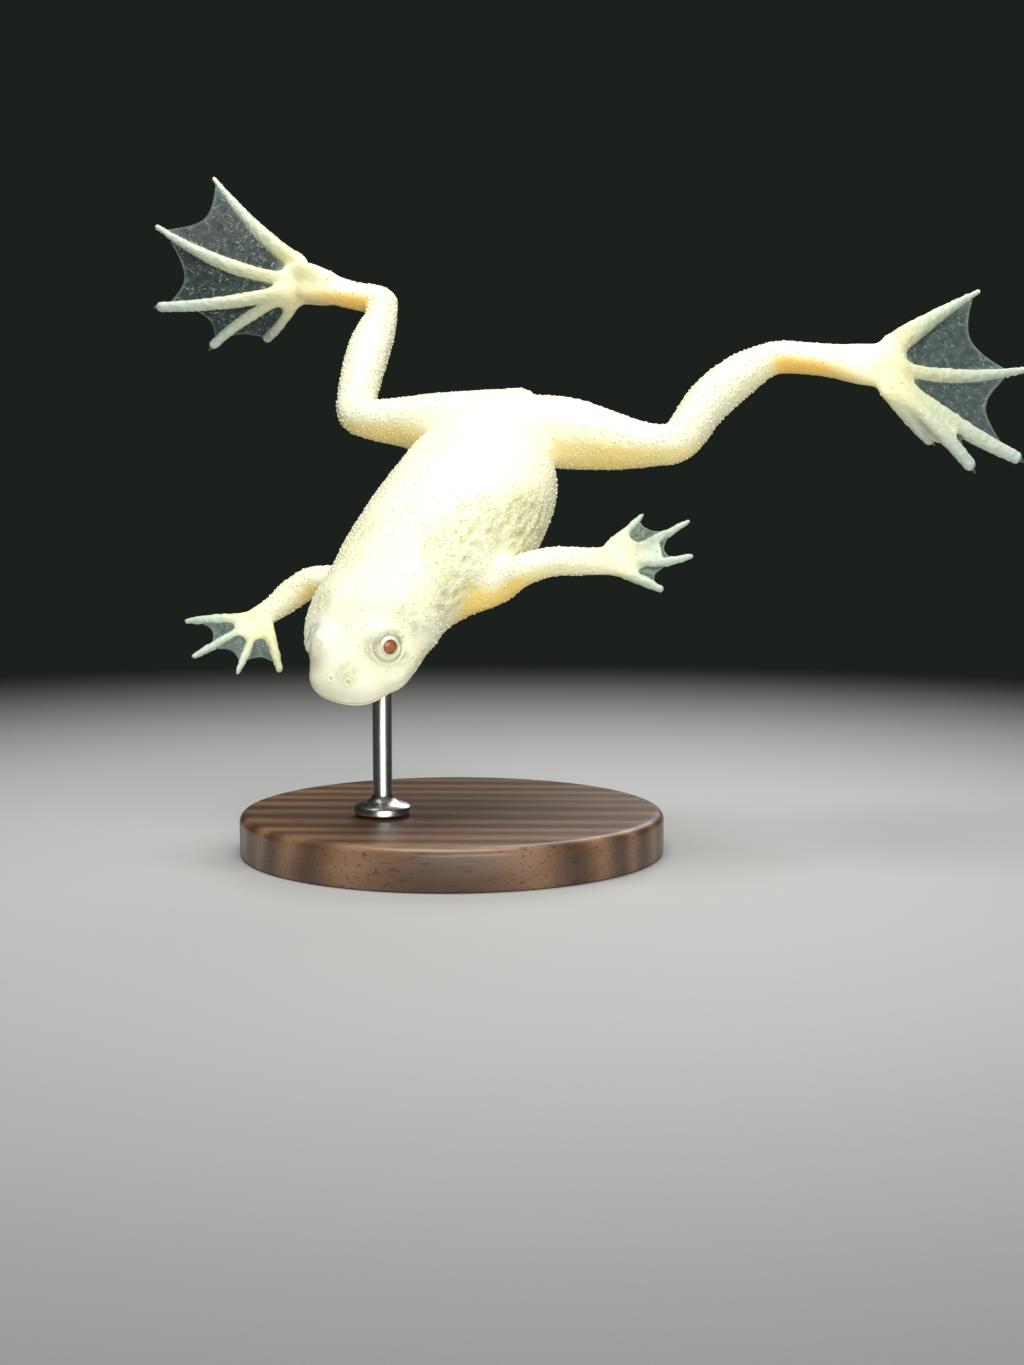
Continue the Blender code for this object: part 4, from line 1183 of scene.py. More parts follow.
def web_material(settings):
    material, nodes, shader = new_material("frog_web")
    place = nodes.place()
    uv = nodes.add("ShaderNodeUVMap", uv_map="web").outputs["UV"]
    split = nodes.add("ShaderNodeSeparateXYZ", {"Vector": uv})
    across, along = split.outputs["X"], split.outputs["Y"]
    solid_part = nodes.attribute("web_body")
    lump = nodes.attribute("web_lump")
    cloud = nodes.noise(place, 1300.0, 2.0)
    crumple = nodes.noise(place, 1300.0, 2.0, 0.5, 0.6)
    colour = nodes.mix(nodes.fade(lump, 0.1, 0.9), settings.web_dark, settings.web_pale)
    colour = nodes.mix(nodes.attribute("web_green"), colour, settings.web_green)
    ridge = nodes.math("ABSOLUTE", nodes.math("SUBTRACT", crumple, 0.5))
    dash = nodes.fade(ridge, 0.012, 0.03, 1.0, 0.0)
    dash = nodes.times(dash, nodes.fade(cloud, 0.5, 0.56, 0.0, 0.75))
    colour = nodes.mix(dash, colour, settings.web_fleck)
    fleck = nodes.spots(place, 5200.0, 0.22, 0.75)
    colour = nodes.mix(nodes.times(fleck, 0.5), colour, settings.web_fleck)
    edge = nodes.fade(along, 0.97, 0.99)
    sides = nodes.math("ABSOLUTE", nodes.math("SUBTRACT", across, 0.5))
    root = nodes.times(nodes.fade(sides, 0.36, 0.5), nodes.fade(along, 0.0, 0.9, 1.0, 0.55))
    root = nodes.math("MAXIMUM", root, nodes.fade(along, 0.08, 0.3, 1.0, 0.0))
    colour = nodes.mix(nodes.times(edge, 0.25), colour, settings.web_edge)
    colour = nodes.mix(nodes.times(root, 0.7), colour, settings.web_edge)
    nodes.put(shader, "Base Color", colour)
    solid = nodes.math("MAXIMUM", nodes.times(edge, 0.35), nodes.times(root, 0.9))
    solid = nodes.math("MAXIMUM", solid, nodes.times(fleck, 0.6))
    solid = nodes.math("MAXIMUM", solid, nodes.times(dash, 0.9))
    solid = nodes.math("MAXIMUM", solid, nodes.math("MULTIPLY_ADD", lump, 0.1, solid_part))
    nodes.put_all(shader, {
        "Alpha": solid,
        "Roughness": 0.42,
        "Specular IOR Level": 0.3,
        "Normal": nodes.bump(crumple, 0.9, 0.00012),
    })
    return material


def eye_material(settings):
    material, nodes, shader = new_material("frog_eye")
    uv = nodes.add("ShaderNodeUVMap", uv_map="eye").outputs["UV"]
    away = nodes.add("ShaderNodeSeparateXYZ", {"Vector": uv}).outputs["Y"]
    rays = nodes.noise(nodes.add("ShaderNodeMapping", {"Vector": uv, "Scale": (40.0, 6.0, 1.0)})
                       .outputs["Vector"], 1.0, 4.0)
    cloud = nodes.noise(nodes.place(), 2600.0, 3.0)
    copper = nodes.mix(nodes.fade(cloud, 0.4, 0.62), settings.pupil, settings.pupil_glow)
    iris = nodes.mix(nodes.times(nodes.fade(rays, 0.5, 0.72), 0.3), settings.iris, settings.iris_fleck)
    wobble = nodes.math("MULTIPLY_ADD", rays, 0.02, -0.01)
    place = nodes.math("ADD", away, wobble)
    edge = settings.pupil_share
    inside = nodes.ramp(place, [(0.0, grey(1.0)), (edge * 0.98, grey(1.0)), (edge * 1.05, grey(0.0)),
                                (1.0, grey(0.0))])
    # A dark ring on the wall of the pupil's hollow: painted shade
    rim = nodes.ramp(place, [(0.0, grey(0.0)), (edge * 0.84, grey(0.0)), (edge * 0.95, grey(0.9)),
                             (edge * 1.04, grey(0.0)), (1.0, grey(0.0))])
    colour = nodes.mix(inside, iris, copper)
    colour = nodes.mix(rim, colour, settings.pupil_rim_shade)
    nodes.put_all(shader, {
        "Base Color": colour,
        "Roughness": 0.35,
        "Coat Weight": 0.4,
        "Coat Roughness": 0.12,
        "Normal": nodes.bump(rays, 0.1, 0.00002),
    })
    return material


def claw_material(settings):
    material, nodes, shader = new_material("frog_claw")
    tone = nodes.noise(nodes.place(), 1500.0, 3.0)
    nodes.put_all(shader, {
        "Base Color": nodes.mix(tone, settings.claw, settings.claw_pale),
        "Roughness": 0.25,
        "Coat Weight": 0.5,
        "Coat Roughness": 0.1,
    })
    return material


def wood_material(settings):
    material, nodes, shader = new_material("stand_walnut")
    place = nodes.place()
    turn = (0.05, 0.12, 0.35)
    grain = nodes.add("ShaderNodeMapping", {"Vector": place, "Location": (0.013, 0.047, 0.02),
                                            "Rotation": turn,
                                            "Scale": (30.0, 420.0, 420.0)}).outputs["Vector"]
    rings = nodes.noise(grain, 0.55, 4.0, 0.55, 0.9)
    bands = nodes.add("ShaderNodeTexWave", {"Vector": grain, "Scale": 0.22, "Distortion": 5.0, "Detail": 3.0,
                                            "Detail Scale": 0.8}, wave_type="BANDS",
                      bands_direction="Y").outputs["Fac"]
    figure = nodes.math("MULTIPLY_ADD", bands, 0.55, nodes.times(rings, 0.5))
    colour = nodes.ramp(figure, [(0.15, coloured(settings.wood_dark)), (0.55, coloured(settings.wood)),
                                 (0.9, coloured(settings.wood_pale))])
    pore_place = nodes.add("ShaderNodeMapping", {"Vector": place, "Rotation": turn,
                                                 "Scale": (350.0, 5200.0, 5200.0)}).outputs["Vector"]
    pores = nodes.noise(pore_place, 1.0, 2.0)
    pore = nodes.fade(pores, 0.33, 0.42, 1.0, 0.0)
    colour = nodes.mix(nodes.times(pore, 0.6), colour, settings.wood_pore)
    nodes.put_all(shader, {
        "Base Color": colour,
        "Roughness": nodes.remap(pores, 0.5, 0.34),
        "Coat Weight": 0.25,
        "Coat Roughness": 0.25,
        "Normal": nodes.bump(pores, 0.25, 0.00005),
    })
    return material


def steel_material(settings):
    material, nodes, shader = new_material("stand_steel")
    place = nodes.place()
    brushed = nodes.add("ShaderNodeMapping", {"Vector": place, "Scale": (900.0, 900.0, 9000.0)})
    lines = nodes.noise(brushed.outputs["Vector"], 1.0, 3.0)
    tone = nodes.mix(lines, settings.steel_dark, settings.steel)
    nodes.put_all(shader, {
        "Base Color": tone,
        "Metallic": 1.0,
        "Roughness": nodes.remap(lines, 0.22, 0.42),
        "Normal": nodes.bump(lines, 0.15, 0.00002),
    })
    return material


# What the sidebar offers


def length(name, description, default):
    return FloatProperty(name=name, description=description, default=default * MM, precision=6,
                         unit="LENGTH", subtype="DISTANCE")


def whole(name, description, default, **limits):
    return IntProperty(name=name, description=description, default=default, **limits)


def factor(name, description, default, low=0.0, high=1.0):
    return FloatProperty(name=name, description=description, default=default, min=low, max=high,
                         subtype="FACTOR")


def watts(name, description, default):
    return FloatProperty(name=name, description=description, default=default, min=0.0, unit="POWER")


def tint(name, description, default):
    return FloatVectorProperty(name=name, description=description, default=default, size=3,
                               subtype="COLOR", min=0.0, max=1.0)


class FrogSizes(PropertyGroup):
    blend_voxel: length("Blend Size", "Grid spacing that blends the limbs into the trunk", 0.18)
    blend_smoothing: whole("Blend Smoothing", "How often the blended body is smoothed", 16, min=0)
    shoulder_smoothing: whole("Shoulder Smoothing",
                              "How often the arms' roots and the eye mounds are smoothed", 70, min=0)
    voxel: length("Skin Grid", "Grid spacing of the finished skin", 0.13)
    palm_smoothing: whole("Palm Smoothing", "How often the palms are smoothed", 34, min=0)
    triangles: whole("Skin Triangles", "Triangles kept in the skin before the face is refined", 150000,
                     min=10000, max=190000)
    face_spacing: length("Face Spacing", "Longest edge round the eyes, mouth and nostrils", 0.09)
    eye_radius: length("Eyeball Radius", "Radius of each eyeball", 0.95)
    pupil_depth: length("Pupil Depth", "How deep the pupil lies in the eyeball", 0.13)
    pupil_tilt: FloatProperty(name="Pupil Reach", description="Angle from the eye's axis to the pupil's edge",
                              default=math.radians(37.5), unit="ROTATION", subtype="ANGLE")
    lid_height: length("Lid Height", "How far the lids rise round the eyeballs", 0.16)
    mouth_depth: length("Mouth Depth", "Depth of the line between the lips", 0.17)
    wrinkle_depth: length("Wrinkle Depth", "Depth of the loose skin's wrinkles", 0.11)
    wrinkle_size: length("Wrinkle Size", "Width of one wrinkle", 0.75)
    digit_relief: length("Digit Relief", "Height of the unevenness of the toes and fingers", 0.07)
    granule_spacing: length("Granule Spacing", "Least distance between two granules of the skin", 0.3)
    granule_radius: length("Granule Radius", "Radius of the largest granules", 0.13)
    granule_rise: factor("Granule Rise", "Height of a granule over its radius", 0.75, 0.1)
    granule_seed: whole("Granule Seed", "Picks another scatter of the granules", 7)
    web_thickness: length("Web Thickness", "Thickness of the webs between the toes and fingers", 0.12)
    web_ripple: length("Web Ripple", "Height of the ripples in the webs", 0.12)
    web_lump: length("Web Lumps", "Height of the small lumps in the webs", 0.04)
    claw_length: length("Claw Length", "Length of the claws on the first three toes", 0.38)
    claw_radius: length("Claw Radius", "Radius of those claws at their root", 0.17)


class FrogColours(PropertyGroup):
    cream: tint("Cream", "Main colour of the back", (0.92, 0.9, 0.58))
    pale: tint("Pale", "Palest patches of the back", (0.94, 0.93, 0.78))
    # Cream Shade is the mottles' duller cream, and painted shade on the belly and lower flanks
    cream_shade: tint("Cream Shade", "Duller cream of the flanks and belly", (0.82, 0.8, 0.46))
    mottle: tint("Mottle", "Greyish spots on the shoulders, the flank and the head", (0.54, 0.53, 0.28))
    # Amber and honey are painted shade on the limbs' downward-facing sides
    amber: tint("Amber", "Underside of the limbs", (1.0, 0.62, 0.13))
    honey_shade: tint("Honey", "Edge of the amber on the limbs", (1.0, 0.84, 0.3))
    palm: tint("Palm", "Feet and hands between the limb and the digits", (0.8, 0.75, 0.4))
    hand: tint("Hand", "Fingers of the hands", (0.46, 0.56, 0.44))
    sallow: tint("Sallow", "Yellowish patches of the fingers and the palms", (0.68, 0.64, 0.3))
    toe_base: tint("Toe Base", "Toes and fingers near the palm", (0.7, 0.7, 0.38))
    toe_tip: tint("Toe Tip", "Tips of the toes and fingers", (0.55, 0.66, 0.57))
    toe_shade: tint("Toe Streaks", "Streaks along the toes", (0.45, 0.5, 0.36))
    lid: tint("Lid", "Skin round the eyes", (0.88, 0.85, 0.62))
    # Lid Shade is painted shade round the eyes as well as greyish skin
    lid_shade: tint("Lid Shade", "Greyish skin round the eyes", (0.3, 0.33, 0.24))
    # Fold Line is painted shade at the bottom of the folds at the lids and the mouth, and in the nostrils
    line: tint("Fold Line", "Bottom of the folds at the lids and the mouth", (0.3, 0.29, 0.16))
    speck: tint("Speck", "Small dark specks", (0.3, 0.29, 0.18))
    web_dark: tint("Web Dark", "Darker parts of the webs", (0.07, 0.1, 0.092))
    web_pale: tint("Web Pale", "Paler parts of the webs", (0.1, 0.135, 0.125))
    web_green: tint("Web Green", "Greenish webs of the hands", (0.1, 0.15, 0.095))
    web_fleck: tint("Web Fleck", "Fine flecks and dashes in the webs", (0.34, 0.42, 0.36))
    web_edge: tint("Web Edge", "Free edges and roots of the webs", (0.6, 0.68, 0.58))
    web_left: factor("Left Web Body", "How solid the left foot's webs are", 0.62)
    web_right: factor("Right Web Body", "How solid the right foot's webs are", 0.16)
    web_hand_left: factor("Left Hand Web Body", "How solid the left hand's webs are", 0.9)
    web_hand_right: factor("Right Hand Web Body", "How solid the right hand's webs are", 0.6)
    pupil: tint("Pupil", "Coppery pupil of the eyes", (0.32, 0.105, 0.03))
    pupil_glow: tint("Pupil Glow", "Brighter spots of the pupil", (0.44, 0.16, 0.045))
    # Pupil Rim is painted shade on the wall of the pupil's hollow
    pupil_rim_shade: tint("Pupil Rim", "Rim of the pupil", (0.06, 0.03, 0.018))
    pupil_share: factor("Pupil Size", "Pupil's edge, as a share of half a turn", 0.205, 0.05, 0.4)
    iris: tint("Iris", "Cream ring round the pupil", (0.86, 0.84, 0.6))
    iris_fleck: tint("Iris Fleck", "Flecks in the ring round the pupil", (0.6, 0.5, 0.26))
    claw: tint("Claw", "Claws of the feet", (0.03, 0.025, 0.02))
    claw_pale: tint("Pale Claw", "Paler streaks of the claws", (0.16, 0.13, 0.09))
    wood: tint("Wood", "Main colour of the stand's wood", (0.15, 0.075, 0.036))
    wood_dark: tint("Dark Wood", "Dark bands of the stand's wood", (0.055, 0.026, 0.013))
    wood_pale: tint("Pale Wood", "Pale bands of the stand's wood", (0.26, 0.145, 0.075))
    wood_pore: tint("Wood Pores", "Pores of the stand's wood", (0.02, 0.01, 0.006))
    steel: tint("Steel", "Bright lines of the rod", (0.7, 0.69, 0.67))
    steel_dark: tint("Dark Steel", "Dark lines of the rod", (0.42, 0.42, 0.42))


class FrogStage(PropertyGroup):
    floor: tint("Floor", "Floor under the stand", (0.42, 0.42, 0.41))
    backdrop: tint("Backdrop", "Floor and world far behind the stand", (0.012, 0.015, 0.0125))
    key_power: watts("Key Light", "Power of the soft light from above", 1.45)
    fill_power: watts("Fill Light", "Power of the soft light beside the camera", 1.25)
    rim_power: watts("Rim Light", "Power of the light from behind", 0.5)


# Operators


class FROG_OT_skin(Operator):
    """Shape the body, its limbs and digits as one skin, and carve its face"""

    bl_idname = "frog.build_skin"
    bl_label = "Build Skin"

    def execute(self, context):
        sizes, colours = context.scene.frog_sizes, context.scene.frog_colours
        skin = finished("frog_skin", skin_mesh(sizes), skin_material(colours))
        if len(skin.data.polygons) > MOST_TRIANGLES:
            raise RuntimeError("The skin has too many triangles")
        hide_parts(*SKIN_NODES)
        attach(skin, "root")
        return {"FINISHED"}


def granule_tree(material):
    """Geometry nodes that scatter small flattened grains over a surface."""
    tree = bpy.data.node_groups.new("skin_granules", "GeometryNodeTree")
    sockets = tree.interface
    for end in ("OUTPUT", "INPUT"):
        sockets.new_socket("Geometry", in_out=end, socket_type="NodeSocketGeometry")
    keys = {}
    for name, kind in (("Spacing", "NodeSocketFloat"), ("Radius", "NodeSocketFloat"),
                       ("Rise", "NodeSocketFloat"), ("Seed", "NodeSocketInt"),
                       ("Density", "NodeSocketString")):
        keys[name] = sockets.new_socket(name, in_out="INPUT", socket_type=kind).identifier
    nodes = Nodes(tree)
    given = nodes.add("NodeGroupInput").outputs
    density = nodes.add("GeometryNodeInputNamedAttribute", {"Name": given["Density"]}, data_type="FLOAT")
    points = nodes.add("GeometryNodeDistributePointsOnFaces",
                       {"Mesh": given["Geometry"], "Distance Min": given["Spacing"],
                        "Density Max": GRANULE_DENSITY, "Density Factor": density.outputs["Attribute"],
                        "Seed": given["Seed"]},
                       distribute_method="POISSON")
    size = nodes.add("FunctionNodeRandomValue", {2: SMALLEST_GRANULE, 3: 1.0, "Seed": given["Seed"]},
                     data_type="FLOAT")
    radius = nodes.times(size.outputs[1], given["Radius"])
    scale = nodes.add("ShaderNodeCombineXYZ", {"X": radius, "Y": radius,
                                               "Z": nodes.times(radius, given["Rise"])})
    grain = nodes.add("GeometryNodeMeshIcoSphere", {"Radius": 1.0, "Subdivisions": 1})
    placed_grains = nodes.add("GeometryNodeInstanceOnPoints",
                              {"Points": points.outputs["Points"], "Instance": grain.outputs["Mesh"],
                               "Rotation": points.outputs["Rotation"], "Scale": scale.outputs["Vector"]})
    real = nodes.add("GeometryNodeRealizeInstances", {"Geometry": placed_grains.outputs["Instances"]})
    marked = nodes.add("GeometryNodeStoreNamedAttribute",
                       {"Geometry": real.outputs["Geometry"], "Name": "granule", "Value": 1.0},
                       data_type="FLOAT")
    smooth = nodes.add("GeometryNodeSetShadeSmooth", {"Geometry": marked.outputs["Geometry"]})
    coated = nodes.add("GeometryNodeSetMaterial", {"Geometry": smooth.outputs["Geometry"],
                                                   "Material": material})
    nodes.add("NodeGroupOutput", {"Geometry": coated.outputs["Geometry"]})
    return tree, keys


class FROG_OT_granules(Operator):
    """Scatter the small granules of the skin over the trunk and the limbs"""

    bl_idname = "frog.build_granules"
    bl_label = "Build Granules"

    def execute(self, context):
        sizes = context.scene.frog_sizes
        skin = bpy.data.objects["frog_skin"]
        tree, keys = granule_tree(bpy.data.materials["frog_skin"])
        for number, (name, density) in enumerate((("granules_trunk", "trunk_grain"),
                                                  ("granules_limbs", "limb_grain"))):
            carrier = bpy.data.objects.new("carrier", skin.data.copy())
            context.scene.collection.objects.link(carrier)
            modifier = carrier.modifiers.new("granules", "NODES")
            modifier.node_group = tree
            modifier[keys["Spacing"]] = sizes.granule_spacing
            modifier[keys["Radius"]] = sizes.granule_radius
            modifier[keys["Rise"]] = sizes.granule_rise
            modifier[keys["Seed"]] = sizes.granule_seed + number
            modifier[keys["Density"]] = density
            graph = context.evaluated_depsgraph_get()
            mesh = bpy.data.meshes.new_from_object(carrier.evaluated_get(graph))
            carrier.modifiers.clear()
            bpy.data.objects.remove(carrier)
            if not FEWEST_TRIANGLES < len(mesh.polygons) < MOST_TRIANGLES:
                raise RuntimeError(f"{name} has {len(mesh.polygons)} faces")
            piece = bpy.data.objects.new(name, mesh)
            context.scene.collection.objects.link(piece)
            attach(piece, "root")
        return {"FINISHED"}


def web_mesh(name, sizes, body, green):
    """The thin membranes between the digits of one foot or hand, how solid and how green they are."""
    digits = DIGITS[name]
    rows, across = 60, 42
    half = sizes.web_thickness / MM / 2
    ripple, height = sizes.web_ripple / MM, sizes.web_lump / MM
    bm = bmesh.new()
    layer = bm.loops.layers.uv.new("web")
    lumps = []
    for number, (near, far, bite) in enumerate(WEBS[name]):
        sheet = []
        for r in range(rows + 1):
            line = []
            for c in range(across + 1):
                reach = (r / rows) * (1 - bite * math.sin(math.pi * c / across))
                a = curve_point(digits[number], reach * near)
                b = curve_point(digits[number + 1], reach * far)
                line.append(a.lerp(b, c / across))
            sheet.append(line)

        def lump(r, c):
            x, y, z = sheet[r][c]
            fine = noise.noise(Vector((x * 1.9, y * 1.9, z * 1.9 + number)))
            return min(max(0.5 + 0.9 * fine, 0.0), 1.0)

        def wave(r, c):
            free = math.sin(math.pi * c / across) * min(1.0, 2 * r / rows)
            wide = noise.noise(Vector((c / across * 4 + number * 7, r / rows * 1.3, len(name))))
            return wide * free * ripple + (lump(r, c) - 0.5) * free * height

        # The membrane swells into a thin cord along its free edge
        halves = [half * (1.0 + 0.4 * max(0.0, 1 - abs(r / rows - 0.985) * 40)) for r in range(rows + 1)]
        for face, places in add_sheet(bm, sheet, halves, wave):
            for loop, (r, c) in zip(face.loops, places):
                loop[layer].uv = (c / across, r / rows)
        lumps += [lump(r, c) for r in range(rows + 1) for c in range(across + 1)] * 2
    bmesh.ops.triangulate(bm, faces=bm.faces)
    mesh = to_mesh(bm, "web_" + name)
    store(mesh, {"web_lump": np.array(lumps), "web_body": np.full(len(lumps), body),
                 "web_green": np.full(len(lumps), green)})
    return mesh


class FROG_OT_webs(Operator):
    """Stretch the thin webs between the toes and the fingers"""

    bl_idname = "frog.build_webs"
    bl_label = "Build Webs"

    def execute(self, context):
        colours = context.scene.frog_colours
        material = web_material(colours)
        bodies = {"foot_left": (colours.web_left, 0.0), "foot_right": (colours.web_right, 0.0),
                  "hand_left": (colours.web_hand_left, 0.9), "hand_right": (colours.web_hand_right, 0.45)}
        for name, look in bodies.items():
            web = finished("web_" + name, web_mesh(name, context.scene.frog_sizes, *look), material)
            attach(web, "root")
        return {"FINISHED"}


def eye_mesh(side, sizes):
    """An eyeball with its pupil set in a shallow hollow, turned about the eye's own axis."""
    middle = eye_place(side, EYE_OUT)
    axis = eye_place(side, EYE_OUT + 1) - middle
    turn = axis.to_track_quat("Z", "Y").to_matrix()
    rings, sides = 64, 56
    bm = bmesh.new()
    layer = bm.loops.layers.uv.new("eye")
    rows = []
    for r in range(1, rings):
        tilt = math.pi * r / rings
        radius = sizes.eye_radius / MM
        sunk = sizes.pupil_depth / MM * min(max((sizes.pupil_tilt - tilt) / PUPIL_SLOPE, 0.0), 1.0)
        rows.append([bm.verts.new(middle + turn @ Vector((radius * math.sin(tilt) * math.cos(a),
                                                          radius * math.sin(tilt) * math.sin(a),
                                                          radius * math.cos(tilt) - sunk)))
                     for a in (2 * math.pi * k / sides for k in range(sides))])
    front = bm.verts.new(middle + turn @ Vector((0, 0, (sizes.eye_radius - sizes.pupil_depth) / MM)))
    back = bm.verts.new(middle - turn @ Vector((0, 0, sizes.eye_radius / MM)))

    def add(corners, places):
        made = bm.faces.new(corners)
        for loop, (u, v) in zip(made.loops, places):
            loop[layer].uv = (u, v)

    for k in range(sides):
        u, w, following = k / sides, (k + 1) / sides, (k + 1) % sides
        first, last = 1 / rings, 1 - 1 / rings
        add([front, rows[0][k], rows[0][following]], [((u + w) / 2, 0), (u, first), (w, first)])
        add([back, rows[-1][following], rows[-1][k]], [((u + w) / 2, 1), (w, last), (u, last)])
        for r in range(len(rows) - 1):
            v, x = (r + 1) / rings, (r + 2) / rings
            add([rows[r][k], rows[r + 1][k], rows[r + 1][following], rows[r][following]],
                [(u, v), (u, x), (w, x), (w, v)])
    return to_mesh(bm, "eye")


class FROG_OT_eyes(Operator):
    """Set the two eyeballs in their lids"""

    bl_idname = "frog.build_eyes"
    bl_label = "Build Eyes"

    def execute(self, context):
        material = eye_material(context.scene.frog_colours)
        for side, word in ((1, "left"), (-1, "right")):
            eye = finished("eyeball_" + word, eye_mesh(side, context.scene.frog_sizes), material)
            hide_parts("eye_" + word)
            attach(eye, "root")
        return {"FINISHED"}


class FROG_OT_claws(Operator):
    """Put the small dark claws on the first three toes of each foot"""

    bl_idname = "frog.build_claws"
    bl_label = "Build Claws"

    def execute(self, context):
        sizes = context.scene.frog_sizes
        bm = bmesh.new()
        for name in ("foot_left", "foot_right"):
            for digit in DIGITS[name][:CLAWED_TOES]:
                tip, before = curve_point(digit, 1.0), curve_point(digit, 0.85)
                ahead = (tip - before).normalized()
                start = tip + ahead * (digit[3][2] * 0.7)
                rows = []
                for k in range(6):
                    t = k / 5
                    place = start + ahead * (t * sizes.claw_length / MM) - Vector((0, 0, CLAW_HOOK * t * t))
                    size = sizes.claw_radius / MM * (1 - t) ** 0.6 + CLAW_TIP
                    rows.append((*place, size, size))
                add_tube(bm, rows, 12, 2)
        claws = finished("claws", to_mesh(bm, "claws"), claw_material(context.scene.frog_colours))
        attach(claws, "root")
        return {"FINISHED"}


def turned(profile, place, segments):
    """A turned piece from radius and height pairs, standing at a place, its ends closed."""
    bm = bmesh.new()
    rings = [[Vector((place[0] + radius * math.cos(a), place[1] + radius * math.sin(a), height)) * MM
              for a in (2 * math.pi * k / segments for k in range(segments))]
             for radius, height in profile]
    add_loft(bm, rings)
    return to_mesh(bm, "turned")


class FROG_OT_stand(Operator):
    """Turn the stand's wooden base and its steel rod"""

    bl_idname = "frog.build_stand"
    bl_label = "Build Stand"

    def execute(self, context):
        colours = context.scene.frog_colours
        profile = [(BASE_RADIUS - inset, height) for inset, height in BASE_FOOT]
        top = BASE_HEIGHT - BASE_BEVEL
        profile += [(BASE_RADIUS, top - 0.9), (BASE_RADIUS, top)]
        profile += [(BASE_RADIUS - BASE_BEVEL + BASE_BEVEL * math.cos(a), top + BASE_BEVEL * math.sin(a))
                    for a in (math.pi / 2 * k / 8 for k in range(1, 9))]
        profile += [(BASE_RADIUS - BASE_BEVEL - 0.5, BASE_HEIGHT), (4.0, BASE_HEIGHT)]
        base = placed("stand_disc", turned(profile, (0, 0), 160), wood_material(colours))
        base.data.set_sharp_from_angle(angle=math.radians(40))
        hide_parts("stand_base")
        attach(base, "root")
        low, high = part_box("stand_rod")
        foot, head = low[2] / MM, high[2] / MM
        profile = [(radius, foot + height) for radius, height in COLLAR] + [(ROD_RADIUS, head)]
        rod = placed("stand_pin", turned(profile, ROD_PLACE, 64), steel_material(colours))
        rod.data.set_sharp_from_angle(angle=math.radians(40))
        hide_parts("stand_rod")
        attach(rod, "root")
        return {"FINISHED"}


def soft_light(name, place, aim, size, power):
    data = bpy.data.lights.new(name, "AREA")
    data.shape = "DISK"
    data.size = size
    data.energy = power
    light = bpy.data.objects.new(name, data)
    bpy.context.scene.collection.objects.link(light)
    light.location = place
    light.rotation_euler = (Vector(aim) - Vector(place)).to_track_quat("-Z", "Y").to_euler()


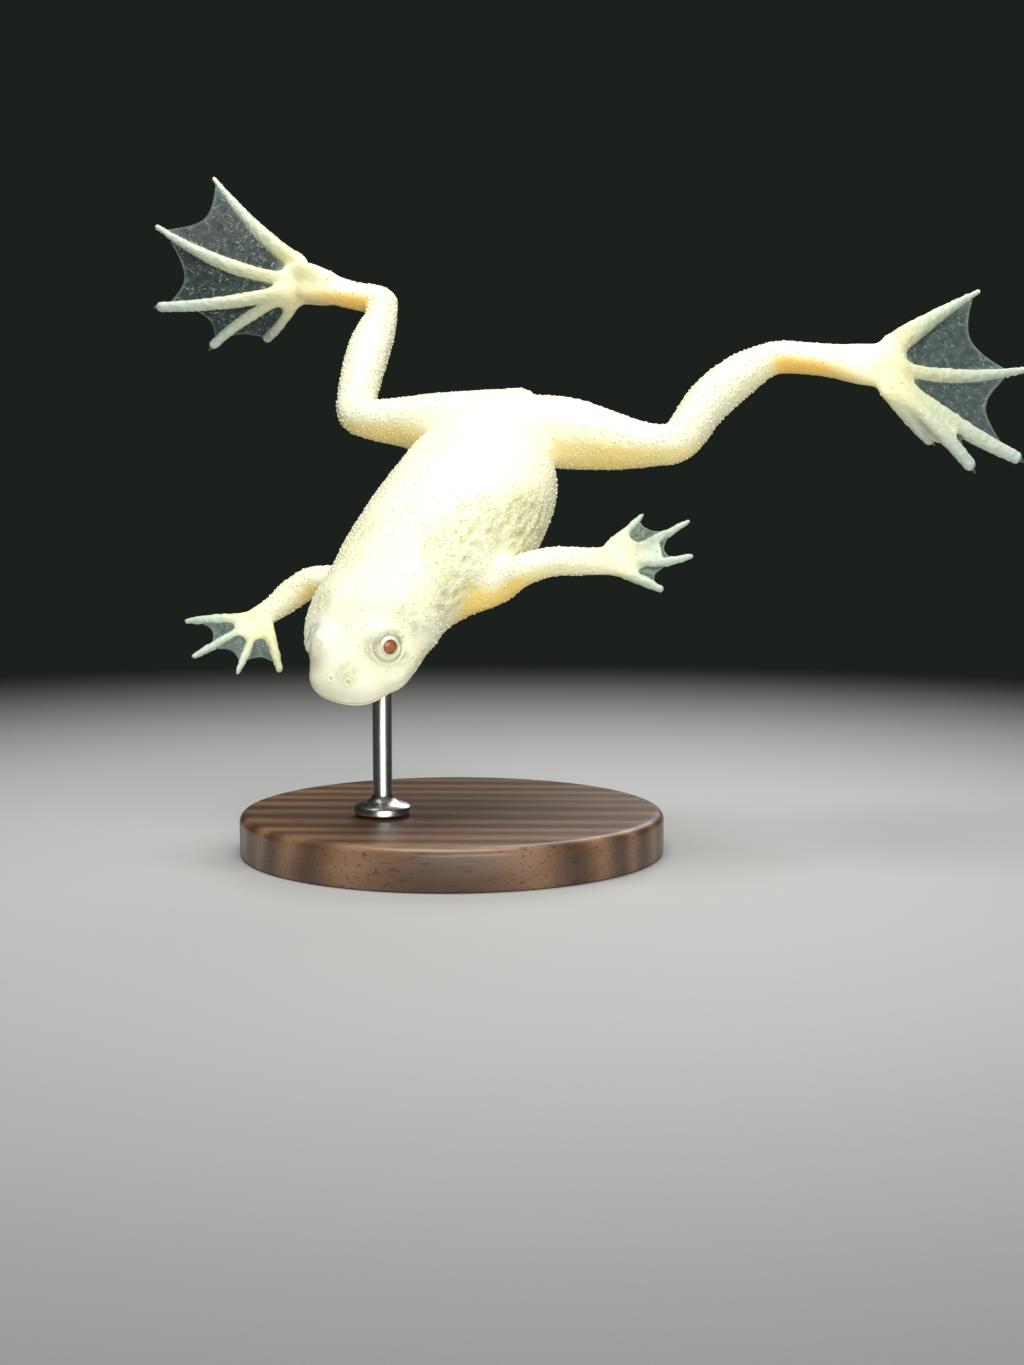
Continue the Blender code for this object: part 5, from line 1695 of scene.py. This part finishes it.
class FROG_OT_stage(Operator):
    """Set the floor, the lights and the camera"""

    bl_idname = "frog.build_stage"
    bl_label = "Build Stage"

    def execute(self, context):
        settings = context.scene.frog_stage
        bm = bmesh.new()
        bmesh.ops.create_circle(bm, cap_ends=True, segments=96, radius=2.0)
        floor_material, nodes, shader = new_material("stage_floor")
        place = nodes.place()
        # The floor is pale round the stand and fades into the dark backdrop farther out: a painted pool of
        # light
        away = nodes.add("ShaderNodeVectorMath", {0: place}, operation="LENGTH").outputs["Value"]
        share = nodes.remap(away, 0.0, 1.0, 0.03, 0.17, "SMOOTHSTEP")
        grain = nodes.noise(place, 900.0, 3.0)
        pale = nodes.mix(nodes.times(grain, 0.12), settings.floor, grey(0.45))
        nodes.put(shader, "Base Color", pale)
        nodes.put(shader, "Roughness", 0.7)
        far = nodes.add("ShaderNodeEmission", {"Color": settings.backdrop})
        blend = nodes.add("ShaderNodeMixShader", {0: share, 1: shader.outputs["BSDF"],
                                                  2: far.outputs["Emission"]})
        nodes.put(floor_material.node_tree.nodes["Material Output"], "Surface", blend.outputs["Shader"])
        floor = placed("floor", to_mesh(bm, "floor"), floor_material, smooth=False)

        world = bpy.data.worlds.new("studio")
        context.scene.world = world
        world.use_nodes = True
        background = world.node_tree.nodes["Background"].inputs
        background["Color"].default_value = coloured(settings.backdrop)
        background["Strength"].default_value = 1.0

        for word, where, aim, size in LIGHTS:
            soft_light(word + "_light", where, aim, size, getattr(settings, word + "_power"))

        lens = bpy.data.cameras.new("camera")
        lens.lens = CAMERA_LENS
        lens.sensor_width = CAMERA_SENSOR
        lens.clip_start = 0.002
        lens.clip_end = 20.0
        camera = bpy.data.objects.new("camera", lens)
        context.scene.collection.objects.link(camera)
        camera.location = CAMERA_PLACE
        camera.rotation_euler = (math.radians(CAMERA_TILT_DEG), 0.0, 0.0)
        context.scene.camera = camera
        context.scene.view_settings.view_transform = "Standard"
        return {"FINISHED"}


class FROG_PT_panel(Panel):
    """Lists what the frog is built of, and its sizes and colours"""

    bl_idname = "FROG_PT_panel"
    bl_label = "Dwarf Frog"
    bl_space_type = "VIEW_3D"
    bl_region_type = "UI"
    bl_category = "Frog"

    def draw(self, context):
        column = self.layout.column(align=True)
        for operator in OPERATORS:
            column.operator(operator.bl_idname)
        for group in (context.scene.frog_sizes, context.scene.frog_colours, context.scene.frog_stage):
            box = self.layout.box()
            for key in group.bl_rna.properties.keys():
                if key not in ("rna_type", "name"):
                    box.prop(group, key)


OPERATORS = (FROG_OT_skin, FROG_OT_granules, FROG_OT_webs, FROG_OT_eyes, FROG_OT_claws, FROG_OT_stand,
             FROG_OT_stage)
CLASSES = (FrogSizes, FrogColours, FrogStage, *OPERATORS, FROG_PT_panel)


def register():
    for cls in CLASSES:
        bpy.utils.register_class(cls)
    bpy.types.Scene.frog_sizes = PointerProperty(type=FrogSizes)
    bpy.types.Scene.frog_colours = PointerProperty(type=FrogColours)
    bpy.types.Scene.frog_stage = PointerProperty(type=FrogStage)


def unregister():
    del bpy.types.Scene.frog_stage
    del bpy.types.Scene.frog_colours
    del bpy.types.Scene.frog_sizes
    for cls in reversed(CLASSES):
        bpy.utils.unregister_class(cls)


def main():
    register()
    bpy.ops.frog.build_skin()
    bpy.ops.frog.build_granules()
    bpy.ops.frog.build_webs()
    bpy.ops.frog.build_eyes()
    bpy.ops.frog.build_claws()
    bpy.ops.frog.build_stand()
    bpy.ops.frog.build_stage()


if __name__ == "__main__":
    main()
